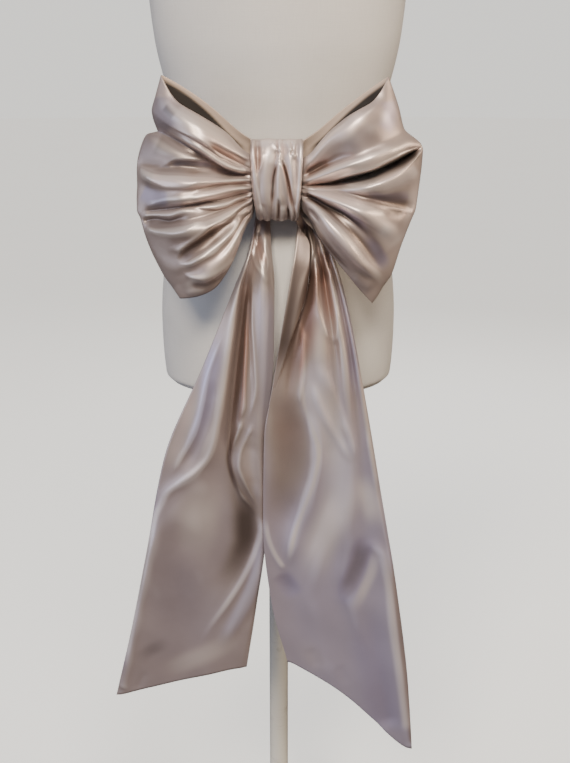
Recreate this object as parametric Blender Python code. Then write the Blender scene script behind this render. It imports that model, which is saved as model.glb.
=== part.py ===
"""Satin sash with a large tied bow and two long tails, worn on a limbless dress form.

Metres, +Z up, the bow faces -Y.  The origin is the middle of the stand's underside.
Every cloth piece is a thin closed wall: a smooth sheet is drawn through a short table
of fold lines and then given thickness on both sides.
"""
import math

import bmesh
import bpy
import numpy as np

MM = 0.001
GAP = 0.0003                # clearance where two pieces meet

# ---- heights and depths -----------------------------------------------------------
KNOT_Z = 1.070              # height of the knot's middle, the form's waist
KNOT_Y = -0.1224            # depth of the knot's middle
WALL = 0.0013               # loops and tails
KNOT_WALL = 0.0020
BAND_WALL = 0.0020

# ---- knot: a band wound round the middle of the bow ---------------------------------
KNOT_HALF_DEPTH = 0.0265
KNOT_HALF_HEIGHT = 0.0465
KNOT_DROP = 0.0030          # middle of the ring below KNOT_Z
KNOT_SQUARE = 2.6           # exponent of the ring's rounded outline
KNOT_ROUND = 28             # points round the ring
KNOT_EDGE_TUCK = 0.0020     # the two edges curl in by this much
KNOT_EDGE_SHARE = 0.14      # outermost share of the width that curls in
KNOT_FRONT_BIAS = (0.5, 0.9)    # folds fade from full at the front to none behind
KNOT_TOP_SHARE = 0.7        # height of the folds over the top against the front
# name, x across the front at the bottom, the middle and the top, height of the fold (mm)
KNOT_FOLDS = (
    ("left edge",     -24.5, -29.0, -31.0, 0.4),
    ("left lip",      -22.0, -26.5, -28.0, 3.0),
    ("left hollow",   -19.0, -23.5, -21.0, 0.2),
    ("broad pleat",   -12.5, -14.0, -11.5, 4.4),
    ("middle crease",  -6.5,  -5.5,  -1.5, -1.0),
    ("slim pleat",     -1.0,   2.0,   4.0, 3.6),
    ("slim crease",     5.0,   8.5,  10.0, -0.4),
    ("right pleat",    12.0,  15.5,  15.5, 3.8),
    ("right crease",   17.5,  20.5,  21.5, 0.2),
    ("right lip",      21.0,  25.0,  26.0, 3.0),
    ("right edge",     24.0,  28.5,  30.0, 0.4),
)

# ---- loops --------------------------------------------------------------------------
RING_X = 31.5               # the loop leaves the knot here (mm from the middle)
FAN_X = 31.0                # the fold lines start to fan out here (mm)
FAN_SHARES = (0.22, 0.52, 0.82)
STATIONS = (0.0, 0.18, 0.36, 0.60, 0.84, 1.0)
GATHER_SQUEEZE = 0.88       # height of the gather in the knot against the knot's edge
GATHER_HALF_HEIGHT = 41.5
GATHER_HALF_DEPTH = 22.0
GATHER_PLEAT = 1.2
GATHER_INSET = 0.05         # further clearance of the two gathers inside the knot (mm)
# name, height at the knot, then at 22, 52 and 82 per cent of the way out, outer fold's
# distance out and height, how far forward of the outer fold the front lies at 22, 52
# and 82 per cent, and +1 for a ridge or -1 for a valley in the gather (all in mm)
LEFT_LOOP = (
    ("opening edge",   30.0,  48.0,   65.0,   80.0, 136.0,  119.0, 22.0, 37.0, 24.0, 0),
    ("top panel",      25.0,  40.5,   57.0,   71.5, 143.0,   96.0, 29.0, 44.0, 26.0, 1),
    ("upper ridge",    17.0,  31.0,   50.0,   64.0, 148.0,   79.0, 33.0, 46.0, 22.0, 1),
    ("shallow leaf",   14.0,  22.0,   45.0,   60.0, 147.0,   71.0, 26.0, 41.0, 19.0, 0),
    ("lower ridge",    11.0,  15.0,   39.0,   55.0, 145.0,   64.0, 32.0, 44.0, 17.0, 1),
    ("crease one",      6.0,   9.0,   30.0,   47.0, 142.0,   56.0, 11.0, 24.0, 10.0, -1),
    ("second panel",    4.5,   5.5,   24.5,   32.0, 159.0,   44.0, 13.0, 34.0, 22.0, 0),
    ("dark leaf",       2.0,   2.5,   14.0,   16.0, 167.0,   20.0, 17.0, 31.0, 15.0, 0),
    ("broad ridge",    -1.0,  -1.0,    0.0,    3.0, 168.0,    7.0, 28.0, 49.0, 26.0, 1),
    ("small crease",   -7.0,  -5.0,   -9.0,   -9.0, 168.0,   -8.0, 17.0, 38.0, 20.0, -1),
    ("middle ridge",  -11.0, -12.5,  -19.0,  -22.0, 169.0,  -24.0, 31.0, 46.0, 20.0, 1),
    ("long valley",   -17.0, -21.0,  -28.0,  -36.0, 169.0,  -39.0,  9.0, 17.0,  9.0, -1),
    ("thin ridge",    -21.0, -26.5,  -34.0,  -43.0, 165.0,  -47.0, 26.0, 38.0, 17.0, 1),
    ("thin valley",   -24.5, -33.0,  -43.0,  -51.0, 163.0,  -55.0, 14.0, 25.0, 10.0, -1),
    ("rising ridge",  -28.0, -42.0,  -56.0,  -63.0, 160.0,  -66.0, 30.0, 46.0, 23.0, 1),
    ("deep leaf",     -32.5, -50.0,  -70.0,  -86.0, 153.0,  -85.0, 10.0, 19.0, 12.0, -1),
    ("low ridge",     -38.0, -62.0,  -86.0, -103.0, 144.0, -104.0, 24.0, 36.0, 20.0, 1),
    ("hem hollow",    -41.0, -70.0,  -96.0, -114.0, 137.0, -117.0, 18.0, 27.0, 16.0, 0),
    ("hem ridge",     -43.5, -78.0, -106.0, -123.0, 129.0, -128.0, 25.0, 35.0, 18.0, 1),
    ("lower edge",    -48.0, -91.0, -129.0, -140.0, 119.0, -143.0,  8.0, 16.0, 10.0, 0),
)
RIGHT_LOOP = (
    ("opening edge",   26.0,  46.0,   73.0,   90.0, 131.0,  117.0, 15.0, 26.0, 17.0, 0),
    ("bright ridge",   15.0,  40.0,   63.0,   86.0, 136.0,  104.0, 29.0, 40.0, 20.0, 1),
    ("big panel",       9.0,  28.0,   48.0,   66.0, 144.0,   82.0, 19.0, 38.0, 24.0, 0),
    ("crease one",      4.0,  17.5,   31.0,   47.0, 151.0,   57.0,  7.0, 26.0, 13.0, -1),
    ("upper ridge",    -2.5,  10.0,   23.0,   37.0, 165.0,   46.0, 31.0, 46.0, 25.0, 1),
    ("ridge foot",     -5.5,   1.5,   11.0,   28.0, 171.0,   40.5, 24.0, 37.0, 19.0, 0),
    ("open pleat",     -8.5,  -6.0,    3.5,   22.0, 173.0,   37.0,  8.0,  7.0,  8.0, -1),
    ("pleat lip",     -10.5,  -9.5,   -1.5,   17.0, 174.0,   33.0, 17.0, 37.0, 22.0, 0),
    ("flap",          -11.5, -11.0,   -8.0,    7.0, 173.0,   15.0, 23.0, 45.0, 26.0, 0),
    ("crease two",    -13.0, -13.5,  -20.0,  -30.0, 167.0,  -37.0, 15.0, 31.0, 13.0, -1),
    ("middle ridge",  -17.0, -20.0,  -32.0,  -46.0, 161.0,  -51.0, 31.0, 47.0, 24.0, 1),
    ("low panel",     -19.0, -25.0,  -44.0,  -73.0, 150.0,  -80.0, 21.0, 37.0, 22.0, 0),
    ("slant valley",  -22.0, -31.0,  -55.0,  -95.0, 139.0, -115.0,  7.0, 18.0, 10.0, -1),
    ("low ridge",     -27.0, -39.0,  -68.0, -106.0, 129.0, -129.0, 28.0, 40.0, 21.0, 1),
    ("dimple",        -33.0, -52.0,  -84.0, -119.0, 122.0, -141.0, 20.0, 29.0, 15.0, 0),
    ("lower edge",    -40.0, -67.0,  -99.0, -131.0, 116.0, -149.0,  9.0, 16.0, 10.0, 0),
)
BACK_TOP = 40.0             # top of the back layer in the knot (mm)
BACK_BOTTOM = -47.0
BACK_RISE = 7.0             # the back layer's top edge bows up by this much (mm)
BACK_DEPTHS = (-15.0, -14.0, -9.0)      # behind the outer fold at the same three places
BACK_FOLD_SHARE = 0.30      # how much of the front's folds shows in the back layer
BACK_FOLD_SHARES = (0.5, 0.6, 0.3)      # and at the three places on the way out
# height of the outer fold (mm) and its depth in the room (mm)
RIM_DEPTHS = ((-150.0, -150.0), (-60.0, -139.0), (0.0, -131.0), (119.0, -124.0))
LOOP_STEPS = (0.0, 0.18, 0.25, 0.34, 0.45, 0.56, 0.67, 0.78, 0.88, 0.96)

# ---- tails --------------------------------------------------------------------------
TAIL_TOP = -28.0            # top of a tail, from the knot's middle (mm)
TAIL_SHARES = (0.0, 0.04, 0.09, 0.16, 0.30, 0.48, 0.68, 0.85, 1.0)
TAIL_DEPTH_SHARES = (0.0, 0.035, 0.12, 0.42, 1.0)
TAIL_STEPS = 25
TAIL_CROWDING = 1.25        # above 1, the rows lie closer together near the knot
# share of the length, and how much of the tail's own forward shift has come in there
TAIL_SETTLE = ((0.0, 0.0), (0.10, 0.0), (0.30, 1.0), (1.0, 1.0))
# name, distance across at each share of the length, height of the hem, and how far
# forward the line lies at five places down its length (all in mm)
LEFT_TAIL = (
    ("outer edge",   (-25, -28, -35, -54, -93, -146, -174, -199, -224), -707,
     (0, 0, -3, -5, -3)),
    ("long ridge",   (-23, -26, -33, -48, -66, -95, -167, -190, -212), -703,
     (0, 0, 6, 11, 7)),
    ("deep valley",  (-21, -24, -31, -43, -54, -66, -75, -112, -152), -687,
     (0, 0, -6, -12, -5)),
    ("inner ridge",  (-18, -20, -26, -36, -44, -55, -43, -76, -98), -673,
     (0, 0, -5, -8, 7)),
    ("strand side",  (-15, -17, -22, -28, -31, -39, -30, -47, -68), -666,
     (0, 0, 3, -4, -5)),
    ("strand",       (-12, -14, -16, -17, -18, -24, -21, -33, -52), -663,
     (0, 0, 10, 8, 1)),
    ("inner edge",   (-9, -9, -8, -4, -5, -14, -16, -29, -43), -661,
     (0, 0, -2, -6, -4)),
)
RIGHT_TAIL = (
    ("turned edge",  (16, 21, 41, 38, 11, -17, -19, -9, 13), -649,
     (0, 3, 11, 6, 3)),
    ("turned fold",  (19, 25, 22, 14, 0, -14, -15, -5, 17), -650,
     (0, 0, 4, 1, 0)),
    ("hidden hollow", (23, 31, 35, 34, 23, 8, 5, 22, 42), -665,
     (0, -1, -4, -6, -4)),
    ("first ridge",  (26, 35, 44, 50, 54, 48, 32, 50, 74), -686,
     (0, 0, 6, 11, 7)),
    ("hollow",       (29, 39, 51, 60, 73, 75, 70, 92, 106), -714,
     (0, 0, -8, -9, -6)),
    ("second ridge", (32, 43, 57, 70, 85, 94, 92, 121, 140), -749,
     (0, 0, 6, 10, 6)),
    ("shallow",      (35, 46, 62, 77, 96, 110, 119, 144, 159), -770,
     (0, 0, -5, -5, -6)),
    ("outer ridge",  (37, 48, 66, 82, 103, 124, 146, 165, 175), -782,
     (0, 0, 4, 7, 7)),
    ("outer edge",   (39, 51, 69, 85, 107, 132, 159, 177, 187), -788,
     (0, 0, -2, -2, -1)),
)
LEFT_TAIL_FORWARD = 0.0
RIGHT_TAIL_FORWARD = 7.0    # the right tail hangs in front of the left one (mm)
# height from the knot's middle (mm) and depth in the room (mm) of a hanging tail
HANG = (
    (-800.0, -142.0), (-300.0, -141.0), (-220.0, -139.0), (-160.0, -133.5),
    (-110.0, -124.0), (-75.0, -110.0), (-50.0, -96.7), (-28.0, -94.7), (0.0, -94.7),
)

# ---- dress form and stand -------------------------------------------------------------
# height from the waist, half width, half depth to the back and to the front (mm)
TORSO = (
    (-286.0, 147.0, 104.0, 104.0),
    (-277.0, 155.0, 110.0, 109.0),
    (-200.0, 158.5, 113.0, 112.0),
    (-120.0, 152.0, 107.0, 106.0),
    (-60.0, 137.0, 96.0, 96.0),
    (-28.0, 127.0, 91.3, 91.0),
    (0.0, 124.0, 90.0, 89.0),
    (50.0, 129.0, 93.0, 96.0),
    (105.0, 144.0, 102.0, 112.0),
    (160.0, 156.0, 110.0, 130.0),
    (215.0, 162.0, 112.0, 128.0),
    (275.0, 167.0, 108.0, 108.0),
    (330.0, 168.0, 98.0, 92.0),
    (362.0, 152.0, 86.0, 80.0),
    (385.0, 112.0, 71.0, 68.0),
    (402.0, 72.0, 60.0, 58.0),
    (425.0, 55.0, 55.0, 54.0),
    (470.0, 52.0, 52.0, 52.0),
    (474.0, 49.0, 49.0, 49.0),
)
FORM_ROUND = 36             # points round the form and the band alike
# height from the waist (mm) and how far the band's soft pleats stand out (mm)
BAND_FOLDS = ((-36.0, 0.0), (-28.0, 0.4), (-19.0, 1.8), (-10.0, 0.3), (0.0, 1.8),
              (10.0, 0.3), (19.0, 1.8), (28.0, 0.4), (36.0, 0.0))
BAND_CLEARANCE = 0.0005     # from the form to the inside of the band
PER_GAP = 2                 # columns of points from each fold line to the next
BASE_RADIUS = 0.170
BASE_HEIGHT = 0.016
# how far the rounded edge is set in, and at what share of the height
BASE_EDGE = ((0.0, 0.0), (0.0, 0.55), (0.004, 0.85), (0.010, 1.0))
BASE_ROUND = 48
POLE_RADIUS = 0.0140
POLE_ROUND = 28
COLLAR_RADIUS = 0.030
COLLAR_HEIGHT = 0.030
COLLAR_SHOULDER = (0.8, 0.7)    # radius at the top, and height where it starts to narrow
FLANGE_RADIUS = 0.060
FLANGE_HEIGHT = 0.008
FLARE_RADIUS = 0.0224       # the pole widens to this under the flange
FLARE_HEIGHT = 0.012


# ---- smooth curves ------------------------------------------------------------------
def slopes(knots, values):
    """End-safe slopes that never overshoot, for values listed along the first axis."""
    steps = np.diff(knots)
    shape = (-1,) + (1,) * (values.ndim - 1)
    secants = np.diff(values, axis=0) / steps.reshape(shape)
    result = np.zeros_like(values)
    before = secants[:-1]
    after = secants[1:]
    weight_a = (2 * steps[1:] + steps[:-1]).reshape(shape)
    weight_b = (steps[1:] + 2 * steps[:-1]).reshape(shape)
    same_way = before * after > 0
    safe_before = np.where(same_way, before, 1.0)
    safe_after = np.where(same_way, after, 1.0)
    mean = (weight_a + weight_b) / (weight_a / safe_before + weight_b / safe_after)
    result[1:-1] = np.where(same_way, mean, 0.0)
    result[0] = secants[0]
    result[-1] = secants[-1]
    return result


def smooth(knots, values, where):
    """Values of the smooth curve through (knots, values) at each place in where."""
    knots = np.asarray(knots, float)
    values = np.asarray(values, float)
    where = np.asarray(where, float)
    tangents = slopes(knots, values)
    left = np.clip(np.searchsorted(knots, where, side="right") - 1, 0, len(knots) - 2)
    width = knots[left + 1] - knots[left]
    share = np.clip((where - knots[left]) / width, 0.0, 1.0)
    shape = (-1,) + (1,) * (values.ndim - 1)
    share = share.reshape(shape)
    width = width.reshape(shape)
    square = share * share
    cube = square * share
    return (values[left] * (2 * cube - 3 * square + 1)
            + tangents[left] * width * (cube - 2 * square + share)
            + values[left + 1] * (3 * square - 2 * cube)
            + tangents[left + 1] * width * (cube - square))


def rounded_half(height, half_height, half_depth):
    """Half depth of the rounded ring outline at a height from its middle."""
    share = np.clip(np.abs(height) / half_height, 0.0, 1.0)
    return half_depth * (1.0 - share ** KNOT_SQUARE) ** (1.0 / KNOT_SQUARE)


def row_places(count, per_gap):
    """Row numbers of a table with per_gap places between each row and the next."""
    return np.linspace(0.0, count - 1.0, (count - 1) * per_gap + 1)


# ---- building meshes ------------------------------------------------------------------
def finish_object(name, points, faces, material):
    """A named, smooth-shaded mesh object with outward faces."""
    mesh = bpy.data.meshes.new(name)
    mesh.from_pydata([tuple(p) for p in points], [], faces)
    work = bmesh.new()
    work.from_mesh(mesh)
    bmesh.ops.triangulate(work, faces=work.faces[:])
    bmesh.ops.recalc_face_normals(work, faces=work.faces[:])
    for face in work.faces:
        face.smooth = True
    work.to_mesh(mesh)
    work.free()
    mesh.materials.append(material)
    obj = bpy.data.objects.new(name, mesh)
    bpy.context.scene.collection.objects.link(obj)
    return obj


def grid_normals(grid, closed):
    """Unit normals of a grid of points (rows, columns, 3); closed wraps the columns."""
    if closed:
        across = np.roll(grid, -1, axis=1) - np.roll(grid, 1, axis=1)
    else:
        across = np.gradient(grid, axis=1)
    along = np.gradient(grid, axis=0)
    normal = np.cross(across, along)
    length = np.linalg.norm(normal, axis=2, keepdims=True)
    return normal / np.maximum(length, 1e-12)


def wall(name, grid, thickness, material, closed=False):
    """A closed cloth wall, half the thickness to each side of a grid of points."""
    rows, columns = grid.shape[:2]
    shift = grid_normals(grid, closed) * thickness / 2
    points = np.concatenate([(grid + shift).reshape(-1, 3), (grid - shift).reshape(-1, 3)])
    other = rows * columns
    faces = []
    last = columns if closed else columns - 1
    for r in range(rows - 1):
        for c in range(last):
            d = (c + 1) % columns
            quad = (r * columns + c, r * columns + d,
                    (r + 1) * columns + d, (r + 1) * columns + c)
            faces.append(quad)
            faces.append(tuple(other + i for i in reversed(quad)))
    for c in range(last):
        d = (c + 1) % columns
        top = (rows - 1) * columns
        faces.append((d, c, other + c, other + d))
        faces.append((top + c, top + d, other + top + d, other + top + c))
    if not closed:
        end = columns - 1
        for r in range(rows - 1):
            a = r * columns
            b = (r + 1) * columns
            faces.append((a, b, other + b, other + a))
            faces.append((b + end, a + end, other + a + end, other + b + end))
    return finish_object(name, points, faces, material)


def lathe(name, profile, count, material):
    """A solid turned about Z from (radius, height) pairs, flat at both ends."""
    angles = np.arange(count) * 2 * math.pi / count
    rings = [np.stack([r * np.cos(angles), r * np.sin(angles),
                       np.full(count, z)], axis=1) for r, z in profile]
    return stack_rings(name, rings, material)


def stack_rings(name, rings, material):
    """A solid through a stack of closed rings with the same number of points."""
    count = len(rings[0])
    points = np.concatenate(rings)
    faces = [tuple(reversed(range(count)))]
    for r in range(len(rings) - 1):
        for c in range(count):
            d = (c + 1) % count
            low = r * count
            high = low + count
            faces.append((low + c, low + d, high + d, high + c))
    top = (len(rings) - 1) * count
    faces.append(tuple(top + c for c in range(count)))
    return finish_object(name, points, faces, material)


# ---- cloth sheets -------------------------------------------------------------------
def gather_depths(heights, ridge):
    """Front and back depth (mm from the knot's middle) of the gather in the knot."""
    half = rounded_half(heights, GATHER_HALF_HEIGHT, GATHER_HALF_DEPTH)
    return half + GATHER_PLEAT * ridge, -(half + GATHER_PLEAT * ridge)


def loop_sheet(table, side, steps, per_gap):
    """Grid of a bow loop: rows from the knot's front out, round the fold and back."""
    columns = list(zip(*table))
    knot, near, middle, far, out_x, out_z, f_near, f_mid, f_far, ridge = (
        np.array(column, float) for column in columns[1:])
    depth_rows = sorted(RIM_DEPTHS)
    rim = smooth([d[0] for d in depth_rows], [d[1] for d in depth_rows], out_z)
    drop = -KNOT_DROP / MM
    ring_front = drop + GATHER_SQUEEZE * (knot - drop)
    span = knot.max() - knot.min()
    back_knot = BACK_BOTTOM + (knot - knot.min()) / span * (BACK_TOP - BACK_BOTTOM)
    ring_back = drop + GATHER_SQUEEZE * (back_knot - drop)
    front_gather = gather_depths(ring_front - drop, ridge)[0]
    back_gather = gather_depths(ring_back - drop, ridge)[1]
    knot_y = KNOT_Y / MM

    reach = [FAN_X + (out_x - FAN_X) * share for share in FAN_SHARES]
    start = np.full_like(out_x, GAP / MM / 2 + GATHER_INSET)
    ring = np.full_like(out_x, RING_X)
    xs = np.array([start, ring] + reach + [out_x])
    front_z = np.array([ring_front, ring_front, near, middle, far, out_z])
    straight = [back_knot + (out_z - back_knot) * share for share in FAN_SHARES]
    lift = (knot - knot.min()) / span
    rise = [BACK_RISE * lift * math.sin(math.pi * share) for share in FAN_SHARES]
    back_z = np.array([ring_back, ring_back] + [s + r for s, r in zip(straight, rise)]
                      + [out_z])
    front_y = np.array([knot_y - front_gather, knot_y - front_gather,
                        rim - f_near, rim - f_mid, rim - f_far, rim])
    swing = f_mid - f_mid.mean()
    back_y = np.array([knot_y - back_gather, knot_y - back_gather]
                      + [rim - depth + BACK_FOLD_SHARE * share * swing
                         for depth, share in zip(BACK_DEPTHS, BACK_FOLD_SHARES)]
                      + [rim])
    turn = np.sqrt(1.0 - np.array(STATIONS))
    knots = np.concatenate([-turn, turn[-2::-1]])
    stacked = []
    for front, back in ((xs, xs), (front_y, back_y), (front_z, back_z)):
        stacked.append(np.concatenate([front, back[-2::-1]]))
    stacked = np.stack(stacked, axis=2)
    places = np.sqrt(1.0 - np.array(steps))
    places = np.concatenate([-places, [0.0], places[::-1]])
    around = smooth(knots, stacked, places)
    across = smooth(np.arange(len(table)), np.swapaxes(around, 0, 1),
                    row_places(len(table), per_gap))
    grid = np.swapaxes(across, 0, 1) * MM
    grid[:, :, 0] *= side
    grid[:, :, 2] += KNOT_Z
    return grid


def tail_sheet(table, forward, steps, per_gap):
    """Grid of a hanging tail: rows down its length, columns across its fold lines."""
    shares = np.array(TAIL_SHARES)
    x = np.array([row[1] for row in table], float).T
    hem = np.array([row[2] for row in table], float)
    depth = np.array([row[3] for row in table], float).T
    places = np.linspace(0.0, 1.0, steps) ** TAIL_CROWDING
    x = smooth(shares, x, places)
    ahead = smooth(TAIL_DEPTH_SHARES, depth, places)
    z = TAIL_TOP + places[:, None] * (hem[None, :] - TAIL_TOP)
    hang = smooth([h[0] for h in HANG], [h[1] for h in HANG], z.ravel()).reshape(z.shape)
    settle = smooth(*zip(*TAIL_SETTLE), places)[:, None]
    y = hang - ahead - forward * settle
    lines = np.stack([x, y, z], axis=2)
    gaps = np.linalg.norm(np.diff(lines, axis=1), axis=2).mean(axis=0)
    knots = np.concatenate([[0.0], np.cumsum(gaps ** 0.5)])
    where = np.interp(row_places(len(table), per_gap), np.arange(len(table)), knots)
    grid = np.swapaxes(smooth(knots, np.swapaxes(lines, 0, 1), where), 0, 1) * MM
    grid[:, :, 2] += KNOT_Z
    return grid


def knot_sheet(round_count, per_gap):
    """Grid of the knot: columns go round the ring, rows across its pleats."""
    angle = np.arange(round_count) * 2 * math.pi / round_count
    power = 2.0 / KNOT_SQUARE
    out = np.sign(np.cos(angle)) * np.abs(np.cos(angle)) ** power
    up = np.sign(np.sin(angle)) * np.abs(np.sin(angle)) ** power
    folds = len(KNOT_FOLDS)
    where = row_places(folds, per_gap)
    lines = smooth(np.arange(folds), [f[1:4] for f in KNOT_FOLDS], where)
    stand = smooth(np.arange(folds), [f[4] for f in KNOT_FOLDS], where)[:, None]
    x = smooth((-1.0, 0.0, 1.0), lines.T, up).T
    front = np.clip(KNOT_FRONT_BIAS[0] + KNOT_FRONT_BIAS[1] * out, 0.0, 1.0)[None, :]
    edge = np.abs(np.linspace(-1.0, 1.0, len(where)))[:, None]
    curl = np.clip((edge - 1.0 + KNOT_EDGE_SHARE) / KNOT_EDGE_SHARE, 0.0, 1.0)
    tuck = KNOT_EDGE_TUCK / MM * curl ** 2
    rise = stand * front - tuck * front
    depth = KNOT_HALF_DEPTH / MM * out[None, :] + rise * out[None, :]
    height = KNOT_HALF_HEIGHT / MM * up[None, :] + rise * up[None, :] * KNOT_TOP_SHARE
    middle_z = (KNOT_Z - KNOT_DROP) / MM
    return np.stack([x, KNOT_Y / MM - depth, middle_z + height], axis=2) * MM


def torso_ring(height, extra):
    """One ring round the form at a height from the waist (mm), moved out by extra."""
    count = FORM_ROUND
    table = np.array(TORSO)
    half = smooth(table[:, 0], table[:, 1:], [height])[0] + extra
    angle = np.arange(count) * 2 * math.pi / count
    depth = np.where(np.sin(angle) < 0, half[1], half[2])
    return np.stack([half[0] * np.cos(angle), depth * np.sin(angle),
                     np.full(count, KNOT_Z / MM + height)], axis=1) * MM


# ---- materials ------------------------------------------------------------------------
def plain_material(name, colour, roughness, metallic=0.0):
    """A Principled material with a base colour and roughness."""
    material = bpy.data.materials.new(name)
    material.use_nodes = True
    shader = material.node_tree.nodes["Principled BSDF"]
    shader.inputs["Base Color"].default_value = (*colour, 1.0)
    shader.inputs["Roughness"].default_value = roughness
    shader.inputs["Metallic"].default_value = metallic
    return material


# ---- the pieces -----------------------------------------------------------------------
def build_cloth():
    """The sash: waist band, knot, two loops and two tails."""
    satin_band = plain_material("satin_band", (0.50, 0.40, 0.36), 0.35)
    satin_knot = plain_material("satin_knot", (0.54, 0.44, 0.40), 0.33)
    satin_left = plain_material("satin_loop_left", (0.52, 0.42, 0.38), 0.33)
    satin_right = plain_material("satin_loop_right", (0.53, 0.43, 0.39), 0.33)
    satin_tail_left = plain_material("satin_tail_left", (0.50, 0.41, 0.39), 0.34)
    satin_tail_right = plain_material("satin_tail_right", (0.51, 0.42, 0.40), 0.34)
    left_loop = loop_sheet(LEFT_LOOP, -1, LOOP_STEPS, PER_GAP)
    right_loop = loop_sheet(RIGHT_LOOP, 1, LOOP_STEPS, PER_GAP)
    left_tail = tail_sheet(LEFT_TAIL, LEFT_TAIL_FORWARD, TAIL_STEPS, PER_GAP)
    right_tail = tail_sheet(RIGHT_TAIL, RIGHT_TAIL_FORWARD, TAIL_STEPS, PER_GAP)
    wall("loop_left", left_loop, WALL, satin_left)
    wall("loop_right", right_loop, WALL, satin_right)
    wall("tail_left", left_tail, WALL, satin_tail_left)
    wall("tail_right", right_tail, WALL, satin_tail_right)
    wall("knot", knot_sheet(KNOT_ROUND, PER_GAP), KNOT_WALL, satin_knot, closed=True)
    middle = (BAND_CLEARANCE + BAND_WALL / 2) / MM
    rings = [torso_ring(height, middle + stand) for height, stand in BAND_FOLDS]
    wall("waist_band", np.array(rings), BAND_WALL, satin_band, closed=True)


def build_form():
    """The limbless dress form with its pole and round base."""
    linen = plain_material("linen", (0.55, 0.52, 0.48), 0.85)
    enamel = plain_material("pole_enamel", (0.72, 0.70, 0.66), 0.35)
    iron = plain_material("base_enamel", (0.68, 0.66, 0.62), 0.40)
    heights = sorted({row[0] for row in TORSO} | {fold[0] for fold in BAND_FOLDS})
    stack_rings("form_torso", [torso_ring(height, 0.0) for height in heights], linen)
    under = KNOT_Z + TORSO[0][0] * MM
    flange_top = under - GAP
    flange_low = flange_top - FLANGE_HEIGHT
    foot = BASE_HEIGHT + GAP
    collar_top = foot + COLLAR_HEIGHT
    narrow, shoulder = COLLAR_SHOULDER
    pole_profile = (
        (COLLAR_RADIUS, foot),
        (COLLAR_RADIUS, foot + COLLAR_HEIGHT * shoulder),
        (COLLAR_RADIUS * narrow, collar_top),
        (POLE_RADIUS, collar_top),
        (POLE_RADIUS, flange_low - FLARE_HEIGHT),
        (FLARE_RADIUS, flange_low),
        (FLANGE_RADIUS, flange_low),
        (FLANGE_RADIUS, flange_top),
    )
    lathe("pole", pole_profile, POLE_ROUND, enamel)
    base_profile = [(BASE_RADIUS - inset, BASE_HEIGHT * share)
                    for inset, share in BASE_EDGE]
    lathe("base", base_profile, BASE_ROUND, iron)


def main():
    """Clears the scene and builds every piece."""
    for old in list(bpy.data.objects):
        bpy.data.objects.remove(old)
    build_cloth()
    build_form()


main()
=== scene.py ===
"""Looks of a satin bow sash on a limbless dress form.

Metres, +Z up, the bow faces -Y.  Every cloth piece is a fine sheet drawn through a short
table of fold lines, pressed with creases and hollows, and given a thin wall.  The dress
form is covered in linen and stands on an enamelled pole and base.
"""

import logging
import math
from dataclasses import dataclass
from enum import Enum
from typing import Sequence

import bmesh
import bpy
import numpy as np
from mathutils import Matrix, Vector


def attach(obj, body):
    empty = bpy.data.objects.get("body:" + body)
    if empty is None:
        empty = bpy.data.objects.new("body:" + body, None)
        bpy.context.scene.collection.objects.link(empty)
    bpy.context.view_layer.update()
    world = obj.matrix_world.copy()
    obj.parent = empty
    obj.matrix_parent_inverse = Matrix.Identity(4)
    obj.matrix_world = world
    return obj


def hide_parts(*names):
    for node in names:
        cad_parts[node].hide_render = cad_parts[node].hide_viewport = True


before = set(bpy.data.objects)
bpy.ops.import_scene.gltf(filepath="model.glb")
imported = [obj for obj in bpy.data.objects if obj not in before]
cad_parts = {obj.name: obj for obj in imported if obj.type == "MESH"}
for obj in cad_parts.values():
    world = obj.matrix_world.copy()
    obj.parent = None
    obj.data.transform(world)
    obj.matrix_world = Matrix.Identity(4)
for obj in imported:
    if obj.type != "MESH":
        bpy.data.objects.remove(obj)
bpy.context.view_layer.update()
log = logging.getLogger("sash")

MM = 0.001
TINY = 1e-6
BODY = "root"
FORWARD = np.array([0.0, -1.0, 0.0])

# The knot's middle, how far its section hangs below that, and the cloth's wall, in metres.
KNOT_Z = 1.070
KNOT_Y = -0.1224
KNOT_DROP = 0.0030
WALL = 0.0013

# Points of a closed sheet's seam that are this near are joined, in metres.
SEAM = 1e-7

# Power of the knot's rounded outline: 2 for an ellipse, more for a squarer one.
KNOT_SQUARE = 2.6

# Slope at a sharp fold, for a slope of 1 between the folds.
SHARP_SLOPE = 1.5

# Places read for each point of a crease's or a tint's line.
LINE_STEPS = 6

# How round a cusp's line is and how wide a flap's step is, in mm.
CUSP_ROUND = 1.1
FLAP_STEP = 2.0

# A leaf where it is narrowest, and its rim's place, width and height, as shares.
LEAF_NARROWEST = 0.25
RIM_PLACE = 1.25
RIM_WIDTH = 0.35
RIM_HEIGHT = 0.30

# Near and far neighbours: reach in rows, scale of the folds' height in metres, and share.
RELIEF_SCALES = ((2.0, 0.0011, 0.36), (3.0, 0.0060, 0.14))

# Reach in columns of the near and the far neighbours on loops and tails.
RELIEF_REACH = (4.0, 14.0)


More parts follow.
